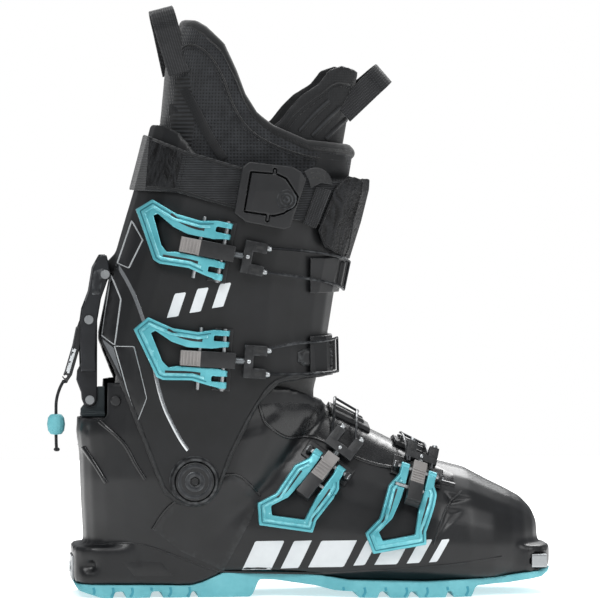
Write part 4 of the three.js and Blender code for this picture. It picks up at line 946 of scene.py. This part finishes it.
# For each kind of buckle: the black sleeve's span, the pad's start, and how far the two pins reach.
buckleKinds = {
    "cuff": ((-14.5, 0.3), -25.5, 18.4 + 1.1, 18.0),
    "foot": ((-27.4, -12.5), -11, 11.7 + 1.1, 15.8),
}
buckles = {
    1: dict(kind="cuff", body="cuff", centre=(28.31, -57.94, 217.11), pin=(0.1924, -0.0231, 0.9810),
        out=(-0.026, -0.9995, -0.018), forward=(0.981, -0.022, -0.193), block=4.7, rodStart=7, yokeAt=14,
        yoke=10),
    2: dict(kind="cuff", body="cuff", centre=(28.80, -56.53, 149.90), pin=(0.0646, -0.0107, 0.9979),
        out=(0.0008, -0.9999, -0.0108), forward=(0.9979, 0.0015, -0.0646), block=4.7, rodStart=7, yokeAt=14,
        yoke=10),
    3: dict(kind="foot", body="root", centre=(95.57, -44.13, 84.91), pin=(0.7755, -0.2716, -0.5700),
        out=(-0.0761, -0.9363, 0.3427), forward=(0.6268, 0.2224, 0.7468), block=4.4, rodStart=6, yokeAt=10,
        yoke=10),
    4: dict(kind="foot", body="root", centre=(152.28, -40.95, 78.68), pin=(0.9491, 0.0074, -0.3149),
        out=(0.2268, -0.7098, 0.6669), forward=(0.2186, 0.7044, 0.6754), block=4.4, rodStart=6, yokeAt=10,
        yoke=10),
}


# The outline moved in by the same distance all along.
def insetLine(outline, inset):
    line = []
    count = len(outline)
    area = sum(a[0] * b[1] - b[0] * a[1] for a, b in zip(outline, outline[1:] + outline[:1]))
    sign = 1 if area > 0 else -1
    for i in range(count):
        a, b, c = Vector(outline[i - 1]), Vector(outline[i]), Vector(outline[(i + 1) % count])
        first, second = (b - a).normalized(), (c - b).normalized()
        normal = Vector((-first.y - second.y, first.x + second.x)) * sign
        normal = normal.normalized() / max(0.55, math.sqrt(max(0.05, (1 + first.dot(second)) / 2)))
        line.append(b + normal * inset)
    return line


def spotOn(data, a, b, c):
    return (Vector(data["centre"]) + Vector(data["forward"]) * a + Vector(data["pin"]) * b
        + Vector(data["out"]) * c) * millimetre


# The levers are shaped in the side view: along towards the catch and up along the pin.
def leverSpot(data, a, b):
    up = Vector((data["pin"][0], data["pin"][2])).normalized()
    hand = 1 if data["kind"] == "cuff" else -1
    ahead = Vector((hand * up.y, -hand * up.x))
    return data["centre"][0] + a * ahead.x + b * up.x, data["centre"][2] + a * ahead.y + b * up.y


def leverBand(name, data, tree, line, width, rise, finish, body, slot, sink=0.5):
    rows = []
    spots = evenly([(p[0], p[1], 0) for p in line], 0.9)
    for i, spot in enumerate(spots):
        along = (spots[min(i + 1, len(spots) - 1)] - spots[max(i - 1, 0)]).normalized()
        across = Vector((-along.y, along.x, 0))
        row = []
        for part, lift in ((-1, -sink), (-1, 0.5), (-0.6, 1), (0.6, 1), (1, 0.5), (1, -sink)):
            place = spot + across * part * width / 2
            point, normal = land(tree, *leverSpot(data, place.x, place.y), -1)
            if point is None:
                break
            row.append(point + Vector(data["out"]) * (lift * rise if lift > 0 else lift) * millimetre)
        if len(row) == 6:
            if rows and abs((row[0] - rows[-1][0]).length) > 0.004:
                continue
            rows.append(row)
    if len(rows) > 2:
        return newPiece(name, bandMesh(rows, False), finish, body, slot, angle=50)
    print("no place for", name)


# The profile gives distance along the axis and radius in millimetres. The piece is closed at both ends.
def roundPiece(name, at, axis, profile, finish, body, slot, count=20):
    direction = Vector(axis).normalized()
    first = direction.orthogonal().normalized()
    second = direction.cross(first)
    rows = [[at + (direction * along + first * r * math.cos(t) + second * r * math.sin(t)) * millimetre
        for t in [math.tau * k / count for k in range(count)]] for along, r in profile]
    return newPiece(name, bandMesh(rows, False), finish, body, slot, angle=40)


def solidBlock(name, data, a, b, c, bevelMm, finish, body, slot):
    corners = [spotOn(data, x, y, z) for x in a for y in b for z in c]
    mesh = bpy.data.meshes.new(name)
    mesh.from_pydata(corners, [], [(0, 1, 3, 2), (4, 6, 7, 5), (0, 4, 5, 1), (2, 3, 7, 6), (0, 2, 6, 4),
        (1, 5, 7, 3)])
    shape = bmesh.new()
    shape.from_mesh(mesh)
    bmesh.ops.recalc_face_normals(shape, faces=shape.faces)
    bmesh.ops.bevel(shape, geom=shape.edges[:], offset=bevelMm * millimetre, segments=3, affect="EDGES",
        profile=0.6)
    shape.to_mesh(mesh)
    shape.free()
    return newPiece(name, mesh, finish, body, slot, angle=35)


buckleDetail = dict(axisDrop=-0.4, threadPitch=0.55, threadRoot=1.95, threadCrest=2.25, yokeHalf=2.2,
    yokeEdge=0.7, armInner=3.9, ribPitch=2.1, pinRadius=1.18)
for number, data in buckles.items():
    kind, bailName = data["kind"], f"bail_{number}"
    leverTree = treeOf(parts[f"buckle_{number}_lever"].data)
    steel, black = ("brushedSteel", bailName, "bright_steel"), ("powderCoatedBlack", bailName, "buckle_black")
    onLever = (f"lever_{number}", "teal_lever")
    # The groove is a darker teal band: painted shade in the recess.
    leverBand(f"leverGroove_{number}", data, leverTree, insetLine(leverOutlines[kind], 1.9), 0.75, 0.12,
        "anodisedTealPaintedShade", *onLever)
    leverBand(f"leverRidge_{number}", data, leverTree, insetLine(leverOutlines[kind], 3.6), 1.7, 0.7,
        "anodisedTeal", *onLever)
    for n, slotLine in enumerate(leverSlots[kind]):
        leverBand(f"leverSlot{n}_{number}", data, leverTree, catmull([(x, y, 0) for x, y in slotLine], 5),
            2.1, 0.16, "blackAcetal", *onLever)
    # Steel stud, black yoke and the thread between them.
    mid, yokeAt, rodStart = buckleDetail["axisDrop"], data["yokeAt"], data["rodStart"]
    width = data["yoke"] + 0.3
    length = yokeAt - rodStart + 2.5
    turns = int(length / buckleDetail["threadPitch"])
    thread = [(0, 1.0)]
    for i in range(turns):
        thread += [(i * length / turns, buckleDetail["threadRoot"]),
            ((i + 0.5) * length / turns, buckleDetail["threadCrest"])]
    roundPiece(f"threadedRod_{number}", spotOn(data, rodStart - 1, 0, mid), data["forward"],
        thread + [(length, 1.0)], *steel, 16)
    yokeDepth = (mid - buckleDetail["yokeHalf"], mid + buckleDetail["yokeHalf"])
    solidBlock(f"yokeBar_{number}", data, (yokeAt - 1.3, yokeAt + 4.6), (-width, width), yokeDepth,
        buckleDetail["yokeEdge"], *black)
    for sign, word in ends:
        inner, outer = buckleDetail["armInner"] * sign, width * sign
        middle = (inner + outer) / 2
        solidBlock(f"yokeArm_{word}_{number}", data, (yokeAt + 3, yokeAt + 13), tuple(sorted((inner, outer))),
            yokeDepth, buckleDetail["yokeEdge"], *black)
        solidBlock(f"yokeSlot_{word}_{number}", data, (yokeAt + 5.5, yokeAt + 10.5), (middle - 1, middle + 1),
            (mid + 1.9, mid + 2.35), 0.18, "softRubber", bailName, "buckle_black")
        roundPiece(f"ferrule_{word}_{number}", spotOn(data, yokeAt + 11.5, (data["yoke"] - 2.6) * sign, mid),
            data["forward"], [(0, 1.6), (0.4, 1.9), (3.4, 1.9), (4.0, 1.4)], *steel)
    roundPiece(f"yokeRivet_{number}", spotOn(data, yokeAt + 1.8, 0, mid + 2.0), data["out"],
        [(0, 1.2), (0.35, 1.2), (0.6, 0.85), (0.7, 0.3)], *steel)
    # The block's front half is black, with the grey adjusting pad behind it.
    sleeve, pad, pinReach, headReach = buckleKinds[kind]
    sleeve = (sleeve[0], rodStart + sleeve[1]) if kind == "cuff" else sleeve
    half = data["block"]
    solidBlock(f"blockSleeve_{number}", data, sleeve, (-half - 0.28, half + 0.28), (1.6, 4.15), 0.5,
        "blackAcetal", bailName, "buckle_black")
    if kind == "foot":
        solidBlock(f"blockHeel_{number}", data, sleeve, (-half - 0.2, half + 0.2), (-2.6, 1.7), 0.3,
            "blackAcetal", bailName, "buckle_black")
    for n in range(5):
        start = pad + n * buckleDetail["ribPitch"]
        solidBlock(f"padRib{n}_{number}", data, (start, start + 1), (-half + 0.5, half - 0.5), (3.4, 4.35),
            0.3, "greyNylon", bailName, "grey_block")
    # The bail's own pin and the lever's pin show at the lever's sides.
    for sign, word in ends:
        radius = buckleDetail["pinRadius"]
        roundPiece(f"bailPin_{word}_{number}", spotOn(data, -15, sign * (half + 0.4), mid),
            Vector(data["pin"]) * sign, [(0, radius), (pinReach - half - 0.7, radius),
            (pinReach - half - 0.4, 0.9)], *steel, 14)
    for sign, word in ends:
        if number != 4 or sign < 0:
            roundPiece(f"pinHead_{word}_{number}", spotOn(data, 0, sign * (headReach - 0.6), 0),
                Vector(data["pin"]) * sign, [(0, 1.3), (0.1, 2.3), (0.9, 2.3), (1.3, 1.6)], "brushedSteel",
                data["body"], "bright_steel")
print("buckles dressed")

# Braided cord of 2 mm with a bead: 46 mm from the hand lever's eye to its tied end.
cordValues = dict(top=(-67.9, 0.0, 134.8), diameter=0.002)
cordRoute = [(0, 0), (-2.2, -4), (-4, -9), (-4.9, -14), (-5, -20), (-5, -27), (-5, -34), (-4.9, -40),
    (-4.6, -44.5)]


def pullCord():
    top = cordValues["top"]
    path = [Vector((top[0] + x, 0, top[2] + z)) * millimetre
        for x, z in [(p.x, p.y) for p in catmull([(x, z, 0) for x, z in cordRoute], 3)]]
    rows = []
    radius = cordValues["diameter"] / 2
    count = 12
    fine = [p for a, b in zip(path, path[1:]) for p in (a, a.lerp(b, 0.34), a.lerp(b, 0.67))] + [path[-1]]
    for i, p in enumerate(fine):
        along = (fine[min(i + 1, len(fine) - 1)] - fine[max(i - 1, 0)]).normalized()
        first = Vector((0, 1, 0))
        second = along.cross(first).normalized()
        rows.append([p + (first * math.cos(t) + second * math.sin(t)) * radius
            for t in [math.tau * k / count for k in range(count)]])
    cord = newPiece("pullCord", bandMesh(rows, False), "braidedCord", "cord", "cord_cloth", angle=60)
    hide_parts("pull_cord")
    knot = roundPiece("cordKnot", path[-1] + Vector((0, 0, 0.0022)), (0, 0, -1),
        [(0, 1.1), (0.5, 1.8), (1.2, 2.05), (1.9, 1.75), (2.4, 0.9)], "braidedCord", "cord", "cord_cloth")
    knotHigh = roundPiece("cordEyeKnot", path[0] + Vector((0.0006, 0, 0.0006)), (0.1, 0, -1),
        [(0, 0.8), (0.5, 1.6), (1.2, 1.9), (1.9, 1.6), (2.3, 1.05)], "braidedCord", "cord", "cord_cloth")


pullCord()

# The cuff's catches: lowest, highest and front of each, in millimetres.
for number, (low, high, front) in {1: (191, 213, 104), 2: (139, 163, 93)}.items():
    middle = (low + high) / 2
    layPanel(f"catchTab_{number}", cuffTree, [(front - 17, middle - 3), (front - 13, middle - 5.5),
        (front - 3, middle - 6), (front - 3, middle + 6), (front - 12, middle + 5.5),
        (front - 17, middle + 3)], 2.4, *catchBlack, -1, 1.6, 0.9)
    x = front + 0.5
    layPanel(f"catchTooth_{number}", cuffTree, [(x, low + 3), (x + 3.2, low + 2), (x + 3.6, middle),
        (x + 3.2, high - 2), (x, high - 3), (x + 0.8, middle)], 4.2, *catchBlack, -1, 1.2, 0.8)
    point, normal = land(cuffTree, front - 8, middle, -1)
    roundPiece(f"catchRivet_{number}", point + normal * 2.2 * millimetre, normal,
        [(0, 2.2), (0.4, 2.2), (0.8, 1.6), (0.95, 0.5)], "brushedSteel", "cuff", "bright_steel")
handTree = treeOf(parts["hand_lever"].data)
layPanel("handLeverStrip", handTree, [(-62.6, 155.5), (-60.4, 155), (-65, 139.4), (-67, 140.2)], 0.25,
    "screenPrint", "hand", "trim_plastic", -1, 1.2, 0.3, 0.1)
housingTree = treeOf(parts["lock_housing"].data)
layPanel("housingStep", housingTree, [(-50.5, 203.5), (-43.2, 206), (-45.5, 189.5), (-50.6, 189)], 0.5,
    "satinHousing", "housing", "trim_plastic", -1, 1.4, 0.8)
dishAt = (67.7, 249.6)
dishBody, dishFace = min(((bodyOf[name], land(treeOf(parts[name].data), *dishAt, -1)[0])
    for name in ("strap_plate", "strap_cam_lever") if land(treeOf(parts[name].data), *dishAt,
    -1)[0] is not None), key=lambda found: found[1].y)
for n, (inner, outer) in enumerate([(5.3, 6.3), (3.2, 4.2), (0.9, 2.2)]):
    ringPiece(f"plateRing{n}", (dishAt[0], dishFace.y * perMetre, dishAt[1]),
        [(inner, -0.5), (inner, 0.15), (inner + 0.25, 0.45), (outer - 0.25, 0.45), (outer, 0.15),
        (outer, -0.5)], "satinHousing", dishBody, "trim_plastic", 40)
fanTree = treeOf(parts["strap_fan"].data)
for ring, radius in enumerate((5.4, 8.6)):
    for n in range(7):
        turn = math.radians(20 + n * 27)
        arc = [(86 + radius * math.cos(turn + k), 258 + radius * math.sin(turn + k)) for k in (-0.16, 0,
            0.16)]
        if all(land(fanTree, x, z, -1)[0] is not None for x, z in arc):
            layBand(f"fanSlot{ring}_{n}", fanTree, arc, 1.2, 0.25, "softRubber", "cuff", "trim_plastic",
                smooth=3, step=0.6)
for side, word in sides:
    layPanel("heelRecess_" + word, shellTree, [(-32.9, 22.6), (-8.9, 22.6), (-1.3, 13.7), (-25.3, 13.7)],
        0.35, *shellFacet, side, 2.0, 0.8)
    layPanel("toeCup_" + word, shellTree, [(223, 29.5), (236, 30.5), (236.5, 14), (221, 13.5)], 0.6,
        *shellFacet, side, 2.0, 1.2)
    # Moulded grooves up the sole's edge, between its lugs, drawn as darker bands: painted shade.
    for n, x in enumerate([-52, -40, -28, -16, -4, 8, 104, 117, 130, 143, 156, 169, 182, 195, 208, 221]):
        layBand(f"soleGroove{n}_{word}", soleTree, [(x, 0.8), (x + 1.5, 3.6), (x + 1.0, 6.6)], 1.5, 0.35,
            "solePaintedShade", "root", "sole_rubber", side, smooth=3, step=1.0)
print("catches and sole dressed")


# Floor, lights and world: name, place, size and power of each light.
studioLights = [("keyLight", (-0.7, -1.5, 1.6), 0.8, 24), ("fillLight", (1.3, -1.3, 1.1), 1.1, 15),
    ("rimLight", (0.5, 1.4, 1.3), 1.0, 26), ("topLight", (0.1, 0.0, 1.9), 1.2, 15)]
lightAim = (0.08, 0, 0.16)


def studio():
    mesh = bpy.data.meshes.new("floor")
    mesh.from_pydata([(-1.6, -1.6, 0), (1.8, -1.6, 0), (1.8, 1.3, 0), (-1.6, 1.3, 0)], [], [(0, 1, 2, 3)])
    floor = bpy.data.objects.new("floor", mesh)
    addToScene(floor)
    tree, shader, where, _ = startFinish("palePaper")
    speckle = addNode(tree, "ShaderNodeTexNoise", {"Scale": 3.0, "Vector": where})
    feed(tree, shader, {"Base Color": mixed(tree, speckle.outputs[0], "F2F2F1", "F6F6F5"), "Roughness": 0.9,
        "Specular IOR Level": 0.1, "Emission Color": (1, 1, 1, 1), "Emission Strength": 0.5})
    mesh.materials.append(finishes["palePaper"])
    for name, spot, size, power in studioLights:
        data = bpy.data.lights.new(name, "AREA")
        data.size, data.energy = size, power
        lamp = bpy.data.objects.new(name, data)
        lamp.location = spot
        lamp.rotation_mode = "QUATERNION"
        lamp.rotation_quaternion = (Vector(lightAim) - Vector(spot)).to_track_quat("-Z", "Y")
        addToScene(lamp)
    world = bpy.data.worlds.new("studioAir")
    world.use_nodes = True
    tree = world.node_tree
    soft = tree.nodes["Background"]
    feed(tree, soft, {0: (0.95, 0.97, 1, 1), 1: 0.3})
    plain = addNode(tree, "ShaderNodeBackground", {"Color": (1, 1, 1, 1), "Strength": 1.0})
    seen = addNode(tree, "ShaderNodeLightPath")
    blend = addNode(tree, "ShaderNodeMixShader", {0: seen.outputs["Is Camera Ray"], 1: soft.outputs[0],
        2: plain.outputs[0]})
    tree.links.new(blend.outputs[0], tree.nodes["World Output"].inputs[0])
    bpy.context.scene.world = world
    bpy.context.scene.view_settings.view_transform = "Standard"


studio()
